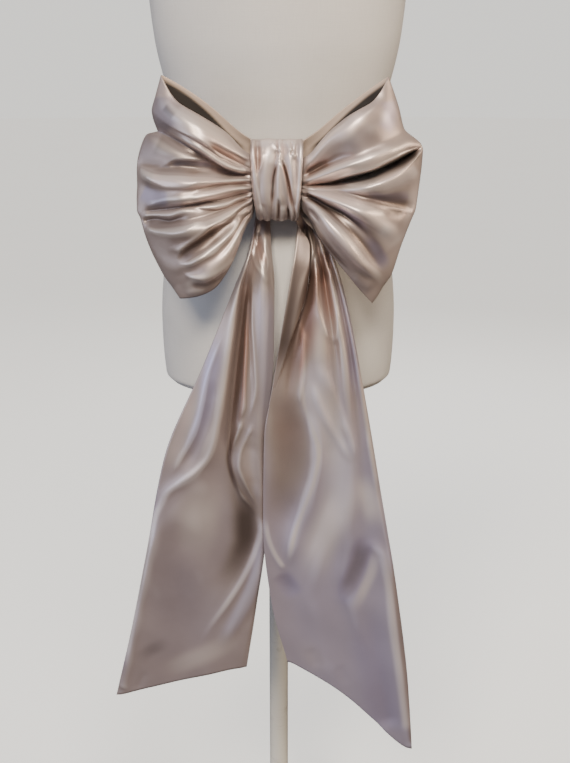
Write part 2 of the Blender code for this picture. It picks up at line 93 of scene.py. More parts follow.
# ---- smooth curves ------------------------------------------------------------------
def slopes(knots: np.ndarray, values: np.ndarray) -> np.ndarray:
    """Slopes that never overshoot.

    Args:
        knots: increasing places.
        values: values at the places, listed along the first axis.

    Returns:
        One slope for each value.
    """
    steps = np.diff(knots)
    shape = (-1,) + (1,) * (values.ndim - 1)
    secants = np.diff(values, axis=0) / steps.reshape(shape)
    result = np.zeros_like(values)
    before, after = secants[:-1], secants[1:]
    weight_a = (2 * steps[1:] + steps[:-1]).reshape(shape)
    weight_b = (steps[1:] + 2 * steps[:-1]).reshape(shape)
    same_way = before * after > 0
    safe_before = np.where(same_way, before, 1.0)
    safe_after = np.where(same_way, after, 1.0)
    mean = (weight_a + weight_b) / (weight_a / safe_before + weight_b / safe_after)
    result[1:-1] = np.where(same_way, mean, 0.0)
    result[0] = secants[0]
    result[-1] = secants[-1]
    return result


def smooth(knots: Sequence[float], values: Sequence, where: Sequence[float],
           crisp: Sequence[float] | None = None) -> np.ndarray:
    """Values of a smooth curve at each place in where.

    Args:
        knots: increasing places.
        values: values at the places, listed along the first axis.
        where: places to read.
        crisp: for each knot, 0 for a round fold and 1 for a sharp one.

    Returns:
        The values, listed along the first axis.
    """
    knots = np.asarray(knots, float)
    values = np.asarray(values, float)
    where = np.asarray(where, float)
    shape = (-1,) + (1,) * (values.ndim - 1)
    tangents = slopes(knots, values)
    left = np.clip(np.searchsorted(knots, where, side="right") - 1, 0, len(knots) - 2)
    width = (knots[left + 1] - knots[left])
    share = np.clip((where - knots[left]) / width, 0.0, 1.0).reshape(shape)
    width = width.reshape(shape)
    secant = (values[left + 1] - values[left]) / width
    start, end = tangents[left], tangents[left + 1]
    if crisp is not None:
        sharp = np.asarray(crisp, float)
        at_start = sharp[left].reshape(shape)
        at_end = sharp[left + 1].reshape(shape)
        start = start * (1 - at_start) + SHARP_SLOPE * secant * at_start
        end = end * (1 - at_end) + SHARP_SLOPE * secant * at_end
    square = share * share
    cube = square * share
    return (values[left] * (2 * cube - 3 * square + 1)
            + start * width * (cube - 2 * square + share)
            + values[left + 1] * (3 * square - 2 * cube)
            + end * width * (cube - square))


def ease(values: np.ndarray) -> np.ndarray:
    """Smooth step from 0 to 1 of values clipped to that range."""
    share = np.clip(values, 0.0, 1.0)
    return share * share * (3 - 2 * share)


def row_places(count: int, per_gap: int) -> np.ndarray:
    """Row numbers of a table with per_gap places between each row and the next."""
    return np.linspace(0.0, count - 1.0, (count - 1) * per_gap + 1)


# ---- creases pressed into a sheet --------------------------------------------------------
class Profile(Enum):
    """Section of a crease across its line."""
    ROLL = "round roll or trough"
    CUSP = "sharp line with soft shoulders"
    LEAF = "flat hollow with a crisp rim"
    FLAP = "one side lies over the other"


def follow(line: Sequence[tuple], x: np.ndarray, z: np.ndarray) -> tuple:
    """Where points lie beside a smooth line.

    Args:
        line: (x, z) points of the line in mm.
        x: the points' x in mm.
        z: the points' z in mm.

    Returns:
        Each point's distance, its distance to the line's left, and its share of the length.
    """
    knots = np.linspace(0.0, 1.0, len(line))
    fine = smooth(knots, line, np.linspace(0.0, 1.0, LINE_STEPS * len(line)))
    spans = np.linalg.norm(np.diff(fine, axis=0), axis=1)
    along = np.concatenate([[0.0], np.cumsum(spans)]) / spans.sum()
    best = np.full(x.shape, np.inf)
    side = np.zeros(x.shape)
    place = np.zeros(x.shape)
    for (ax, az), (bx, bz), ta, tb in zip(fine, fine[1:], along, along[1:]):
        dx, dz = bx - ax, bz - az
        length = max(math.hypot(dx, dz), TINY)
        share = np.clip(((x - ax) * dx + (z - az) * dz) / length ** 2, 0.0, 1.0)
        off_x, off_z = x - ax - share * dx, z - az - share * dz
        distance = np.hypot(off_x, off_z)
        nearer = distance < best
        best = np.where(nearer, distance, best)
        side = np.where(nearer, (dx * off_z - dz * off_x) / length, side)
        place = np.where(nearer, ta + share * (tb - ta), place)
    return best, side, place


def strength(place: np.ndarray, fade: tuple) -> np.ndarray:
    """How strong a line is along its length.

    Args:
        place: shares of the line's length.
        fade: shares of the length over which it grows and dies away.

    Returns:
        0 at an end that fades, 1 between.
    """
    grow, die = fade
    return ease(place / max(grow, TINY)) * ease((1 - place) / max(die, TINY))


def front_view(grid: np.ndarray) -> tuple:
    """The x and z of points in metres, in mm from the knot's middle."""
    return grid[:, :, 0] / MM, (grid[:, :, 2] - KNOT_Z) / MM


@dataclass(frozen=True)
class PaintedLightPatch:
    """A soft patch of painted light on the satin, seen from the front.

    Attributes:
        name: what the patch is.
        width: half width in mm.
        warmth: 1 for a painted copper-brown reflection, -1 for a painted lilac one.
        light: 1 for a painted highlight, -1 for painted shade.
        fade: shares of the length over which it grows and dies away.
        line: (x, z) in mm from the knot's middle.
    """
    name: str
    width: float
    warmth: float
    light: float
    fade: tuple
    line: tuple

    def share(self, x: np.ndarray, z: np.ndarray) -> np.ndarray:
        """How much of the patch the points (x, z) in mm take."""
        best, _, place = follow(self.line, x, z)
        return strength(place, self.fade) * np.exp(-(best / self.width) ** 3)


def painted_light_of(grid: np.ndarray, light_patches: Sequence[PaintedLightPatch], where: np.ndarray) -> np.ndarray:
    """Warmth and lightness of a sheet's painted reflections, highlights and shade.

    Args:
        grid: points in metres, (rows, columns, 3).
        light_patches: the patches of painted light.
        where: how much of the patches each point takes, from 0 to 1.

    Returns:
        (rows, columns, 2), 0.5 for plain satin.
    """
    x, z = front_view(grid)
    paint = np.zeros(x.shape + (2,))
    for light_patch in light_patches:
        change = np.array([light_patch.warmth, light_patch.light])
        paint += (light_patch.share(x, z) * where)[:, :, None] * change
    return 0.5 + 0.5 * np.clip(paint, -1.0, 1.0)


@dataclass(frozen=True)
class Crease:
    """One crease, seen from the front.

    Attributes:
        name: what the crease is.
        profile: the section across the line.
        width: half width in mm.
        height: how far it stands forward, or back when negative, in mm.
        fade: shares of the length over which it grows and dies away.
        line: (x, z) in mm from the knot's middle.
    """
    name: str
    profile: Profile
    width: float
    height: float
    fade: tuple
    line: tuple

    def lift(self, x: np.ndarray, z: np.ndarray) -> np.ndarray:
        """Forward shift in mm of the points (x, z) in mm."""
        best, side, place = follow(self.line, x, z)
        amount = strength(place, self.fade)
        if self.profile is Profile.LEAF:
            full = np.sqrt(amount)
            wide = self.width * (LEAF_NARROWEST + (1 - LEAF_NARROWEST) * full)
            hollow = np.exp(-(best / wide) ** 4)
            rim = np.exp(-((best - RIM_PLACE * wide) / (RIM_WIDTH * wide)) ** 2)
            return self.height * full * (hollow - RIM_HEIGHT * rim)
        soft = np.hypot(best, CUSP_ROUND) - CUSP_ROUND
        if self.profile is Profile.CUSP:
            return self.height * amount * np.exp(-soft / self.width)
        if self.profile is Profile.FLAP:
            step = np.tanh(side / FLAP_STEP)
            return self.height * amount * step * np.exp(-soft / self.width)
        return self.height * amount * np.exp(-(best / self.width) ** 2)


def press(grid: np.ndarray, creases: Sequence[Crease], toward: np.ndarray,
          where: np.ndarray) -> np.ndarray:
    """Presses creases into a sheet.

    Args:
        grid: points in metres, (rows, columns, 3).
        creases: the creases, in mm from the knot's middle.
        toward: direction that a raised crease moves, one or for each point.
        where: how much of the creases each point takes, from 0 to 1.

    Returns:
        The pressed sheet's points.
    """
    x, z = front_view(grid)
    lift = sum((crease.lift(x, z) for crease in creases), np.zeros(x.shape))
    return grid + (lift * where * MM)[:, :, None] * toward


def soften(grid: np.ndarray, reach: float, axis: int) -> np.ndarray:
    """Evens out a grid along one axis, with its ends held.

    Args:
        grid: points, (rows, columns, 3).
        reach: standard deviation of the evening, in grid steps.
        axis: 0 to even along the rows, 1 along the columns.

    Returns:
        The evened grid.
    """
    span = int(3 * reach) + 1
    weights = np.exp(-0.5 * (np.arange(-span, span + 1) / reach) ** 2)
    weights /= weights.sum()
    lines = np.swapaxes(grid, 0, axis)
    first, last = lines[:1], lines[-1:]
    before = 2 * first - lines[span:0:-1]
    after = 2 * last - lines[-2:-span - 2:-1]
    padded = np.concatenate([before, lines, after])
    count = len(lines)
    result = sum(w * padded[i:i + count] for i, w in enumerate(weights))
    return np.swapaxes(result, 0, axis)


def ripple(grid: np.ndarray, size: float, height: float, seed: float) -> np.ndarray:
    """Slow unevenness of hand-dressed cloth, as a forward shift in metres.

    Args:
        grid: points in metres, (rows, columns, 3).
        size: length of one wave in metres.
        height: height of the waves in metres.
        seed: shifts the pattern.

    Returns:
        One shift for each point.
    """
    x, y, z = (grid[:, :, i] * 2 * math.pi / size for i in range(3))
    # Uneven wave lengths, so that the pattern doesn't repeat within a piece.
    wave = (np.sin(x + 1.7 * np.sin(0.6 * z + seed) + seed)
            * np.sin(0.9 * z + 1.3 * np.sin(0.7 * x + 2 * seed))
            + 0.5 * np.sin(1.9 * x + 2.3 * z + y + 3 * seed))
    return height * wave / 1.5


def relief_of(grid: np.ndarray, fine: float, broad: float,
              depth: float = 1.0) -> np.ndarray:
    """How far each point stands out of the cloth round it, for painted shade and highlights.

    Args:
        grid: points in metres, (rows, columns, 3).
        fine: reach of the nearer neighbours, in columns.
        broad: reach of the farther neighbours, in columns.
        depth: how much of the folds' depth counts towards their painted shade.

    Returns:
        0 at the bottom of a deep fold, 0.5 on flat cloth, 1 on a crest.
    """
    stand = np.zeros(grid.shape[:2])
    for reach, (rows, height, share) in zip((fine, broad), RELIEF_SCALES):
        ahead = soften(soften(grid, reach, 1), rows, 0)[:, :, 1] - grid[:, :, 1]
        stand += share * np.tanh(ahead / height)
    return 0.5 + np.where(stand < 0, depth, 1.0) * stand


# ---- meshes -------------------------------------------------------------------------
def sheet_object(name: str, grid: np.ndarray, thickness: float, closed: bool = False,
                 relief: np.ndarray | None = None, inside: np.ndarray | None = None,
                 paint: np.ndarray | None = None) -> bpy.types.Object:
    """A cloth sheet with a wall and UV maps "weave" in metres, "relief" and "paint".

    Args:
        name: the piece's name.
        grid: points in metres, (rows, columns, 3).
        thickness: wall in metres, half to each side of the points.
        closed: joins the last column to the first.
        relief: for each point, 0 in a fold to 1 on a crest, for painted shade and highlights.
        inside: for each point, 1 in painted shade deep inside a loop, or where a back is
            turned forward.
        paint: for each point, the warmth and lightness of its painted light.

    Returns:
        The piece, with a Solidify modifier.
    """
    flat = np.zeros(grid.shape[:2])
    relief = flat + 0.5 if relief is None else relief
    inside = flat if inside is None else inside
    paint = np.stack([flat, flat], axis=2) + 0.5 if paint is None else paint
    if closed:
        grid, relief, inside, paint = (np.concatenate([part, part[:, :1]], axis=1)
                                       for part in (grid, relief, inside, paint))
    rows, columns = grid.shape[:2]
    along = np.linalg.norm(np.diff(grid, axis=0), axis=2).mean(axis=1)
    across = np.linalg.norm(np.diff(grid, axis=1), axis=2).mean(axis=0)
    along = np.concatenate([[0.0], np.cumsum(along)])
    across = np.concatenate([[0.0], np.cumsum(across)])
    work = bmesh.new()
    bmesh.ops.create_grid(work, x_segments=columns - 1, y_segments=rows - 1, size=0.5)
    weave = work.loops.layers.uv.new("weave")
    shades = work.loops.layers.uv.new("relief")
    light_patches = work.loops.layers.uv.new("paint")
    place = {}
    # A new grid's points run from -0.5 to 0.5 until they are moved.
    for vert in work.verts:
        column = round((vert.co.x + 0.5) * (columns - 1))
        row = round((vert.co.y + 0.5) * (rows - 1))
        place[vert] = (row, column)
    for face in work.faces:
        face.smooth = True
        for loop in face.loops:
            row, column = place[loop.vert]
            loop[weave].uv = (across[column], along[row])
            loop[shades].uv = (relief[row, column], inside[row, column])
            loop[light_patches].uv = paint[row, column]
    for vert, (row, column) in place.items():
        vert.co = grid[row, column]
    if closed:
        bmesh.ops.remove_doubles(work, verts=work.verts[:], dist=SEAM)
    piece = object_of(name, work)
    wall = piece.modifiers.new("wall", "SOLIDIFY")
    wall.thickness = thickness
    wall.offset = 0.0
    wall.use_even_offset = False
    return piece


def object_of(name: str, work: bmesh.types.BMesh) -> bpy.types.Object:
    """A linked object that takes over a bmesh and frees it."""
    mesh = bpy.data.meshes.new(name)
    work.to_mesh(mesh)
    work.free()
    piece = bpy.data.objects.new(name, mesh)
    bpy.context.scene.collection.objects.link(piece)
    return piece


def turned_object(name: str, profile: Sequence[tuple], steps: int) -> bpy.types.Object:
    """A solid turned about Z, closed at both ends.

    Args:
        name: the piece's name.
        profile: (radius, height) pairs in metres, from the axis to the axis.
        steps: faces round the axis.

    Returns:
        The piece.
    """
    work = bmesh.new()
    verts = [work.verts.new((radius, 0.0, height)) for radius, height in profile]
    edges = [work.edges.new(pair) for pair in zip(verts, verts[1:])]
    bmesh.ops.spin(work, geom=verts + edges, cent=(0, 0, 0), axis=(0, 0, 1),
                   angle=2 * math.pi, steps=steps, use_merge=True)
    bmesh.ops.remove_doubles(work, verts=work.verts[:], dist=TINY)
    bmesh.ops.recalc_face_normals(work, faces=work.faces[:])
    for face in work.faces:
        face.smooth = True
    return object_of(name, work)


# ---- shader building ------------------------------------------------------------------
class Value:
    """A number socket that takes arithmetic, each operation adding a Math node."""

    def __init__(self, tree: "Tree", socket: bpy.types.NodeSocket) -> None:
        """Wraps an output socket of the tree."""
        self.tree = tree
        self.socket = socket

    def _math(self, operation: str, a: object, b: object = None) -> "Value":
        """Adds a Math node on a and b."""
        values = {0: a} if b is None else {0: a, 1: b}
        return self.tree.add("ShaderNodeMath", {"operation": operation}, values)

    def __add__(self, other: object) -> "Value":
        """Sum."""
        return self._math("ADD", self, other)

    def __sub__(self, other: object) -> "Value":
        """Difference."""
        return self._math("SUBTRACT", self, other)

    def __mul__(self, other: object) -> "Value":
        """Product."""
        return self._math("MULTIPLY", self, other)

    def __rsub__(self, other: object) -> "Value":
        """Difference from a number."""
        return self._math("SUBTRACT", other, self)

    __radd__ = __add__

    def wave(self) -> "Value":
        """Sine."""
        return self._math("SINE", self)

    def above(self, low: float, high: float) -> "Value":
        """0 at low, 1 at high, smooth between."""
        settings = {"interpolation_type": "SMOOTHSTEP"}
        return self.tree.add("ShaderNodeMapRange", settings, {0: self, 1: low, 2: high})

    def line(self, low: float, high: float) -> "Value":
        """0 at low, 1 at high, straight between."""
        return self.tree.add("ShaderNodeMapRange", None, {0: self, 1: low, 2: high})


class Tree:
    """The nodes of one material."""

    def __init__(self, name: str) -> None:
        """Starts an empty material with an output and a Principled shader."""
        self.material = bpy.data.materials.new(name)
        self.material.use_nodes = True
        self.nodes = self.material.node_tree.nodes
        self.links = self.material.node_tree.links
        self.nodes.clear()
        self.shader = self.nodes.new("ShaderNodeBsdfPrincipled")
        output = self.nodes.new("ShaderNodeOutputMaterial")
        self.links.new(self.shader.outputs[0], output.inputs[0])

    @classmethod
    def of_world(cls, world: bpy.types.World) -> "Tree":
        """The nodes of a world, with its background kept."""
        tree = cls.__new__(cls)
        tree.nodes = world.node_tree.nodes
        tree.links = world.node_tree.links
        return tree

    def add(self, kind: str, settings: dict | None = None, inputs: dict | None = None,
            output: object = 0) -> Value:
        """Adds a node.

        Args:
            kind: the node's type.
            settings: attributes that are set first.
            inputs: values or sockets by input name or number.
            output: the output's name or number.

        Returns:
            The output socket.
        """
        node = self.nodes.new(kind)
        for key, setting in (settings or {}).items():
            setattr(node, key, setting)
        for key, given in (inputs or {}).items():
            self.put(node.inputs[key], given)
        return Value(self, node.outputs[output])

    def put(self, socket: bpy.types.NodeSocket, given: object) -> None:
        """Sets a socket to a value, or links it."""
        if isinstance(given, Value):
            self.links.new(given.socket, socket)
        elif socket.type == "RGBA" and len(given) == 3:
            socket.default_value = (*given, 1.0)
        else:
            socket.default_value = given

    def mix(self, share: object, a: object, b: object) -> Value:
        """Colour between a and b."""
        node = self.nodes.new("ShaderNodeMix")
        node.data_type = "RGBA"
        colours = [s for s in node.inputs if s.type == "RGBA"]
        self.put(node.inputs["Factor"], share)
        self.put(colours[0], a)
        self.put(colours[1], b)
        return Value(self, next(s for s in node.outputs if s.type == "RGBA"))

    def coordinates(self, uv: str | None = None) -> Value:
        """Object coordinates, or a UV map's."""
        if uv is None:
            return self.add("ShaderNodeTexCoord", output="Object")
        return self.add("ShaderNodeUVMap", {"uv_map": uv})

    def stretched(self, where: Value, scale: tuple) -> Value:
        """Coordinates multiplied by a scale on each axis."""
        settings = {"operation": "MULTIPLY"}
        return self.add("ShaderNodeVectorMath", settings, {0: where, 1: scale})

    def noise(self, where: Value, scale: float, detail: float = 2.0,
              roughness: float = 0.5) -> Value:
        """Soft noise from 0 to 1."""
        inputs = {"Vector": where, "Scale": scale, "Detail": detail,
                  "Roughness": roughness}
        return self.add("ShaderNodeTexNoise", None, inputs, "Fac")

    def parts(self, where: Value) -> tuple:
        """The x, y and z of coordinates."""
        node = self.nodes.new("ShaderNodeSeparateXYZ")
        self.put(node.inputs[0], where)
        return tuple(Value(self, out) for out in node.outputs)

    def bump(self, height: Value, strength: float, distance: float,
             normal: Value | None = None) -> Value:
        """Normals raised by a height."""
        inputs = {"Height": height, "Strength": strength, "Distance": distance}
        if normal is not None:
            inputs["Normal"] = normal
        return self.add("ShaderNodeBump", None, inputs)

    def finish(self, **inputs: object) -> bpy.types.Material:
        """Sets the shader's sockets, named with underscores, and gives the material."""
        for key, given in inputs.items():
            self.put(self.shader.inputs[key.replace("_", " ")], given)
        return self.material


@dataclass(frozen=True)
class Satin:
    """Heavy satin: smooth face, fine weft threads, painted shade and highlights on its folds.

    Attributes:
        name: the material's name.
        colour: plain cloth where it is paler.
        shade: plain cloth where it is darker.
        crest: painted highlight on the crests.
        deep: painted shade at the bottom of deep folds.
        copper: what a full painted warm reflection multiplies the colour by.
        lilac: what a full painted cool reflection multiplies the colour by.
        dark: what full painted shade multiplies the colour by.
        pale: colour of a full painted highlight.
        roughness: roughness of the plain cloth.
        metallic: how metallic the sheen is.
        back: keeps the patches of painted light to where the back is turned forward.
        threads: scale of the threads along each axis of the weave.
        slubs: the same for the thicker places of the threads.
        tone_shares: what patches, slubs and threads give to the unevenness.
        painted_shade_span: relief over which the painted shade gives way to the plain colour.
        painted_highlight_span: relief over which the painted highlight comes in.
        painted_highlight_share: how much of the painted highlight is taken.
    """
    name: str
    colour: tuple = (0.470, 0.380, 0.358)
    shade: tuple = (0.415, 0.330, 0.306)
    crest: tuple = (0.800, 0.705, 0.660)
    deep: tuple = (0.190, 0.140, 0.120)
    copper: tuple = (1.000, 0.710, 0.600)
    lilac: tuple = (0.870, 0.965, 1.460)
    dark: tuple = (0.260, 0.250, 0.240)
    pale: tuple = (0.830, 0.745, 0.740)
    roughness: float = 0.40
    metallic: float = 0.55
    back: bool = False
    threads: tuple = (260.0, 5200.0, 1.0)
    slubs: tuple = (60.0, 900.0, 1.0)
    tone_shares: tuple = (0.55, 0.25, 0.20)
    painted_shade_span: tuple = (0.05, 0.40)
    painted_highlight_span: tuple = (0.56, 0.92)
    painted_highlight_share: float = 0.7

    def material(self) -> bpy.types.Material:
        """Builds the material."""
        tree = Tree(self.name)
        where = tree.coordinates("weave")
        place = tree.coordinates()
        threads = tree.noise(tree.stretched(where, self.threads), scale=1.0)
        slubs = tree.noise(tree.stretched(where, self.slubs), scale=1.0, detail=3.0,
                           roughness=0.6)
        patches = tree.noise(place, scale=16.0, detail=3.0, roughness=0.55)
        crush = tree.noise(place, scale=42.0)
        of_patches, of_slubs, of_threads = self.tone_shares
        tone = (patches.above(0.3, 0.7) * of_patches + slubs * of_slubs
                + threads * of_threads)
        relief, turned, _ = tree.parts(tree.coordinates("relief"))
        warmth, light, _ = tree.parts(tree.coordinates("paint"))
        if self.back:
            warmth = (warmth - 0.5) * turned + 0.5
            light = (light - 0.5) * turned + 0.5
        colour = tree.mix(tone, self.shade, self.colour)
        # Painted shade in the folds and painted highlights on the crests, read from the
        # relief.
        colour = tree.mix(relief.above(*self.painted_shade_span), self.deep, colour)
        painted_highlights = relief.above(*self.painted_highlight_span) * self.painted_highlight_share
        colour = tree.mix(painted_highlights, colour, self.crest)
        # Patches of painted warm and cool reflection, painted shade and painted highlight.
        for share, part in ((warmth.line(0.5, 1.0), self.copper),
                            (warmth.line(0.5, 0.0), self.lilac),
                            (light.line(0.5, 0.0), self.dark)):
            colour = tree.mix(share, colour, tree.stretched(colour, part))
        colour = tree.mix(light.line(0.5, 1.0), colour, self.pale)
        rough = (slubs - 0.5) * 0.07 + (patches - 0.5) * 0.06 + self.roughness
        height = threads * 0.3 + slubs * 0.7
        normal = tree.bump(crush, strength=0.08, distance=0.0012)
        normal = tree.bump(height, strength=0.12, distance=0.0001, normal=normal)
        return tree.finish(Base_Color=colour, Roughness=rough, Normal=normal,
                           Metallic=self.metallic, Sheen_Weight=0.18,
                           Sheen_Roughness=0.35, Sheen_Tint=(1.0, 0.93, 0.90),
                           Coat_Weight=0.10, Coat_Roughness=0.30)


@dataclass(frozen=True)
class Reverse:
    """Dull crepe reverse of the satin, with painted shade deep inside a loop."""
    name: str
    # near is the reverse's own colour by the opening edge; deep is near-black painted shade
    # inside a loop.
    near: tuple = (0.640, 0.490, 0.400)
    deep: tuple = (0.016, 0.011, 0.009)
    grain: tuple = (900.0, 900.0, 1.0)

    def material(self) -> bpy.types.Material:
        """Builds the material."""
        tree = Tree(self.name)
        where = tree.coordinates("weave")
        inside = tree.parts(tree.coordinates("relief"))[1]
        crepe = tree.noise(tree.stretched(where, self.grain), scale=1.0, detail=3.0)
        # Painted shade: the reverse goes near black deep inside the loop.
        colour = tree.mix(inside, self.near, self.deep)
        shade = tree.mix(crepe * 0.3, colour, self.deep)
        normal = tree.bump(crepe, strength=0.2, distance=0.0002)
        return tree.finish(Base_Color=shade, Roughness=0.62 + crepe * 0.15,
                           Normal=normal, Sheen_Weight=0.05)


@dataclass(frozen=True)
class Linen:
    """Plain linen stretched over the form: crossed threads with slubs and soft creases."""
    name: str = "form_linen"
    light: tuple = (0.735, 0.712, 0.688)
    dark: tuple = (0.625, 0.600, 0.578)
    thread: float = 0.0009

    def material(self) -> bpy.types.Material:
        """Builds the material."""
        tree = Tree(self.name)
        where = tree.coordinates("weave")
        across, along, _ = tree.parts(where)
        turn = 2 * math.pi / self.thread
        wobble = tree.noise(where, scale=240.0) * 3.0
        sets = []
        for way, slubs in ((across, (900.0, 40.0, 1.0)), (along, (40.0, 900.0, 1.0))):
            threads = (way * turn + wobble).wave() * 0.5 + 0.5
            slub = tree.noise(tree.stretched(where, slubs), scale=1.0, detail=3.0)
            sets.append(threads * slub)
        cloth = sets[0] + sets[1]
        stains = tree.noise(tree.coordinates(), scale=9.0, detail=3.0)
        tone = cloth * 0.55 + stains * 0.45
        colour = tree.mix(tone.above(0.25, 0.75), self.dark, self.light)
        rough = 0.95 - cloth * 0.12
        normal = tree.bump(stains, strength=0.25, distance=0.004)
        normal = tree.bump(cloth, strength=0.5, distance=0.00025, normal=normal)
        return tree.finish(Base_Color=colour, Roughness=rough, Normal=normal,
                           Sheen_Weight=0.12, Sheen_Roughness=0.5)


@dataclass(frozen=True)
class Enamel:
    """Stoved enamel on metal with light orange peel, rubbed marks and scuffs."""
    name: str
    colour: tuple = (0.640, 0.615, 0.560)
    worn: tuple = (0.420, 0.395, 0.350)

    def material(self) -> bpy.types.Material:
        """Builds the material."""
        tree = Tree(self.name)
        where = tree.coordinates()
        peel = tree.noise(where, scale=420.0)
        marks = tree.noise(where, scale=34.0, detail=4.0, roughness=0.62)
        rings = tree.stretched(where, (30.0, 30.0, 240.0))
        scuffs = tree.noise(rings, scale=1.0, detail=3.0)
        wear = marks.above(0.58, 0.72) * 0.5 + scuffs.above(0.60, 0.75) * 0.3
        colour = tree.mix(wear, self.colour, self.worn)
        rough = 0.34 + wear * 0.25 + (peel - 0.5) * 0.08
        normal = tree.bump(peel, strength=0.15, distance=0.0002)
        return tree.finish(Base_Color=colour, Roughness=rough, Normal=normal,
                           Coat_Weight=0.3, Coat_Roughness=0.2)


@dataclass(frozen=True)
class FloorPaint:
    """Matte pale floor."""
    name: str = "studio_floor"
    colour: tuple = (0.800, 0.795, 0.765)
    glow: float = 0.75

    def material(self) -> bpy.types.Material:
        """Builds the material."""
        tree = Tree(self.name)
        clouds = tree.noise(tree.coordinates(), scale=1.2, detail=3.0)
        dark = tuple(0.93 * c for c in self.colour)
        colour = tree.mix(clouds, dark, self.colour)
        return tree.finish(Base_Color=colour, Roughness=0.8, Emission_Color=self.colour,
                           Emission_Strength=self.glow)


# ---- the bow --------------------------------------------------------------------------
def rounded_half(height: np.ndarray, half_height: float, half_depth: float) -> np.ndarray:
    """Half depth of the knot's rounded outline at a height from its middle."""
    share = np.clip(np.abs(height) / half_height, 0.0, 1.0)
    return half_depth * (1.0 - share ** KNOT_SQUARE) ** (1.0 / KNOT_SQUARE)


@dataclass
class Loop:
    """One loop of the bow: a strip gathered in the knot and folded over at its end.

    The table's columns are the height at the knot, at 22, 52 and 82 per cent of the way
    out, the outer fold's distance out and height, how far forward of the outer fold the
    front lies at 22, 52 and 82 per cent, all in mm, then +1 for a ridge or -1 for a valley
    in the gather, and how sharp the fold is.

    Attributes:
        name: the piece's name.
        node: the CAD solid that it stands for.
        side: -1 for the left loop, 1 for the right one.
        table: the fold lines, from the opening edge down.
        creases: what is pressed into the front.
        light_patches: patches of painted reflection, highlight and shade on the front.
        cut: width and length of the cloth laid flat, in metres; not used.
        cut_area: area of the cloth laid flat, in square metres; not used.
        seed: shifts the slow unevenness.
        fold_shade: how much of the folds' depth counts towards their painted shade.
        ring_x: how far out the knot's edge is, in mm.
        fan_x: how far out the folds start to fan, in mm.
        shares: places of the columns between the knot and the outer fold.
        stations: places along the cloth, 0 at the knot and 1 at the outer fold.
        gather: share that the heights keep in the knot, half the gather's height and depth
            there, and how far its ridges stand out, in mm.
        back_span: lowest and highest point of the back at the knot, in mm.
        back_rise: how far the back arches up, in mm.
        back_depths: how far forward of the outer fold the back lies at the shares, in mm.
        back_folds: how much of the front's folds the back mirrors there.
        rims: (height, y) of the outer fold, in mm.
        front_steps: rows of the front.
        back_steps: rows of the back.
        per_gap: columns between fold lines.
        evening: reach of the evening along the cloth and across it, in grid steps.
        draw_in: share by which the gather draws together inside the knot, how far out it
            starts and over what distance, in mm.
        free: distance beyond the knot over which creases come in, in mm, and share of the
            front over which they die away at the outer fold.
        loose: the same for the slow unevenness.
        waves: length and height of the slow unevenness, in metres.
        relief_start: distance beyond the knot at which and over which the relief comes in.
        rolled: (distance out, width) of the pale strip along the opening edge, free of
            painted shade, in mm.
        inside_start: distance out at which and over which the painted shade inside comes in,
            in mm.
        inside_edge: width over which the pale strip gives way to the painted shade, in mm.
    """
    name: str
    node: str
    side: int
    table: tuple
    creases: tuple
    light_patches: tuple
    cut: tuple
    cut_area: float
    seed: float
    fold_shade: float = 1.0
    ring_x: float = 31.5
    fan_x: float = 31.0
    shares: tuple = (0.22, 0.52, 0.82)
    stations: tuple = (0.0, 0.18, 0.36, 0.60, 0.84, 1.0)
    gather: tuple = (0.88, 41.5, 22.0, 1.2)
    back_span: tuple = (-47.0, 40.0)
    back_rise: float = 7.0
    back_depths: tuple = (-15.0, -14.0, -9.0)
    back_folds: tuple = (0.15, 0.18, 0.09)
    rims: tuple = ((-150.0, -150.0), (-60.0, -139.0), (0.0, -131.0), (119.0, -124.0))
    front_steps: int = 116
    back_steps: int = 46
    per_gap: int = 10
    evening: tuple = (4.0, 0.7)
    draw_in: tuple = (0.50, 32.5, 8.0)
    free: tuple = (6.0, 0.10)
    loose: tuple = (30.0, 0.25)
    waves: tuple = (0.075, 0.0006)
    relief_start: tuple = (1.0, 9.0)
    rolled: tuple = ((30.0, 13.0), (60.0, 9.0), (85.0, 5.0), (110.0, 2.5), (140.0, 1.5))
    inside_start: tuple = (32.0, 20.0)
    inside_edge: float = 5.0

    def stations_grid(self) -> np.ndarray:
        """Points (places, fold lines, 3) in mm at the table's own stations."""
        (knot, near, middle, far, out_x, out_z, f_near, f_mid, f_far, ridge, _) = (
            np.array(column, float) for column in list(zip(*self.table))[1:])
        rim = smooth(*zip(*self.rims), out_z)
        drop = -KNOT_DROP / MM
        squeeze, half_height, half_depth, pleat = self.gather
        low, high = self.back_span
        share_up = (knot - knot.min()) / (knot.max() - knot.min())
        back_knot = low + share_up * (high - low)
        ring_front = drop + squeeze * (knot - drop)
        ring_back = drop + squeeze * (back_knot - drop)
        front = rounded_half(ring_front - drop, half_height, half_depth) + pleat * ridge
        back = rounded_half(ring_back - drop, half_height, half_depth) + pleat * ridge
        knot_y = KNOT_Y / MM
        reach = [self.fan_x + (out_x - self.fan_x) * share for share in self.shares]
        start = np.full_like(out_x, 0.2)
        ring = np.full_like(out_x, self.ring_x)
        xs = np.array([start, ring] + reach + [out_x])
        front_z = np.array([ring_front, ring_front, near, middle, far, out_z])
        front_y = np.array([knot_y - front, knot_y - front, rim - f_near, rim - f_mid,
                            rim - f_far, rim])
        back_z = [ring_back, ring_back]
        back_y = [knot_y + back, knot_y + back]
        swing = f_mid - f_mid.mean()
        for share, depth, fold in zip(self.shares, self.back_depths, self.back_folds):
            rise = self.back_rise * share_up * math.sin(math.pi * share)
            back_z.append(back_knot + (out_z - back_knot) * share + rise)
            back_y.append(rim - depth + fold * swing)
        back_z = np.array(back_z + [out_z])
        back_y = np.array(back_y + [rim])
        pairs = ((xs, xs), (front_y, back_y), (front_z, back_z))
        return np.stack([np.concatenate([a, b[-2::-1]]) for a, b in pairs], axis=2)

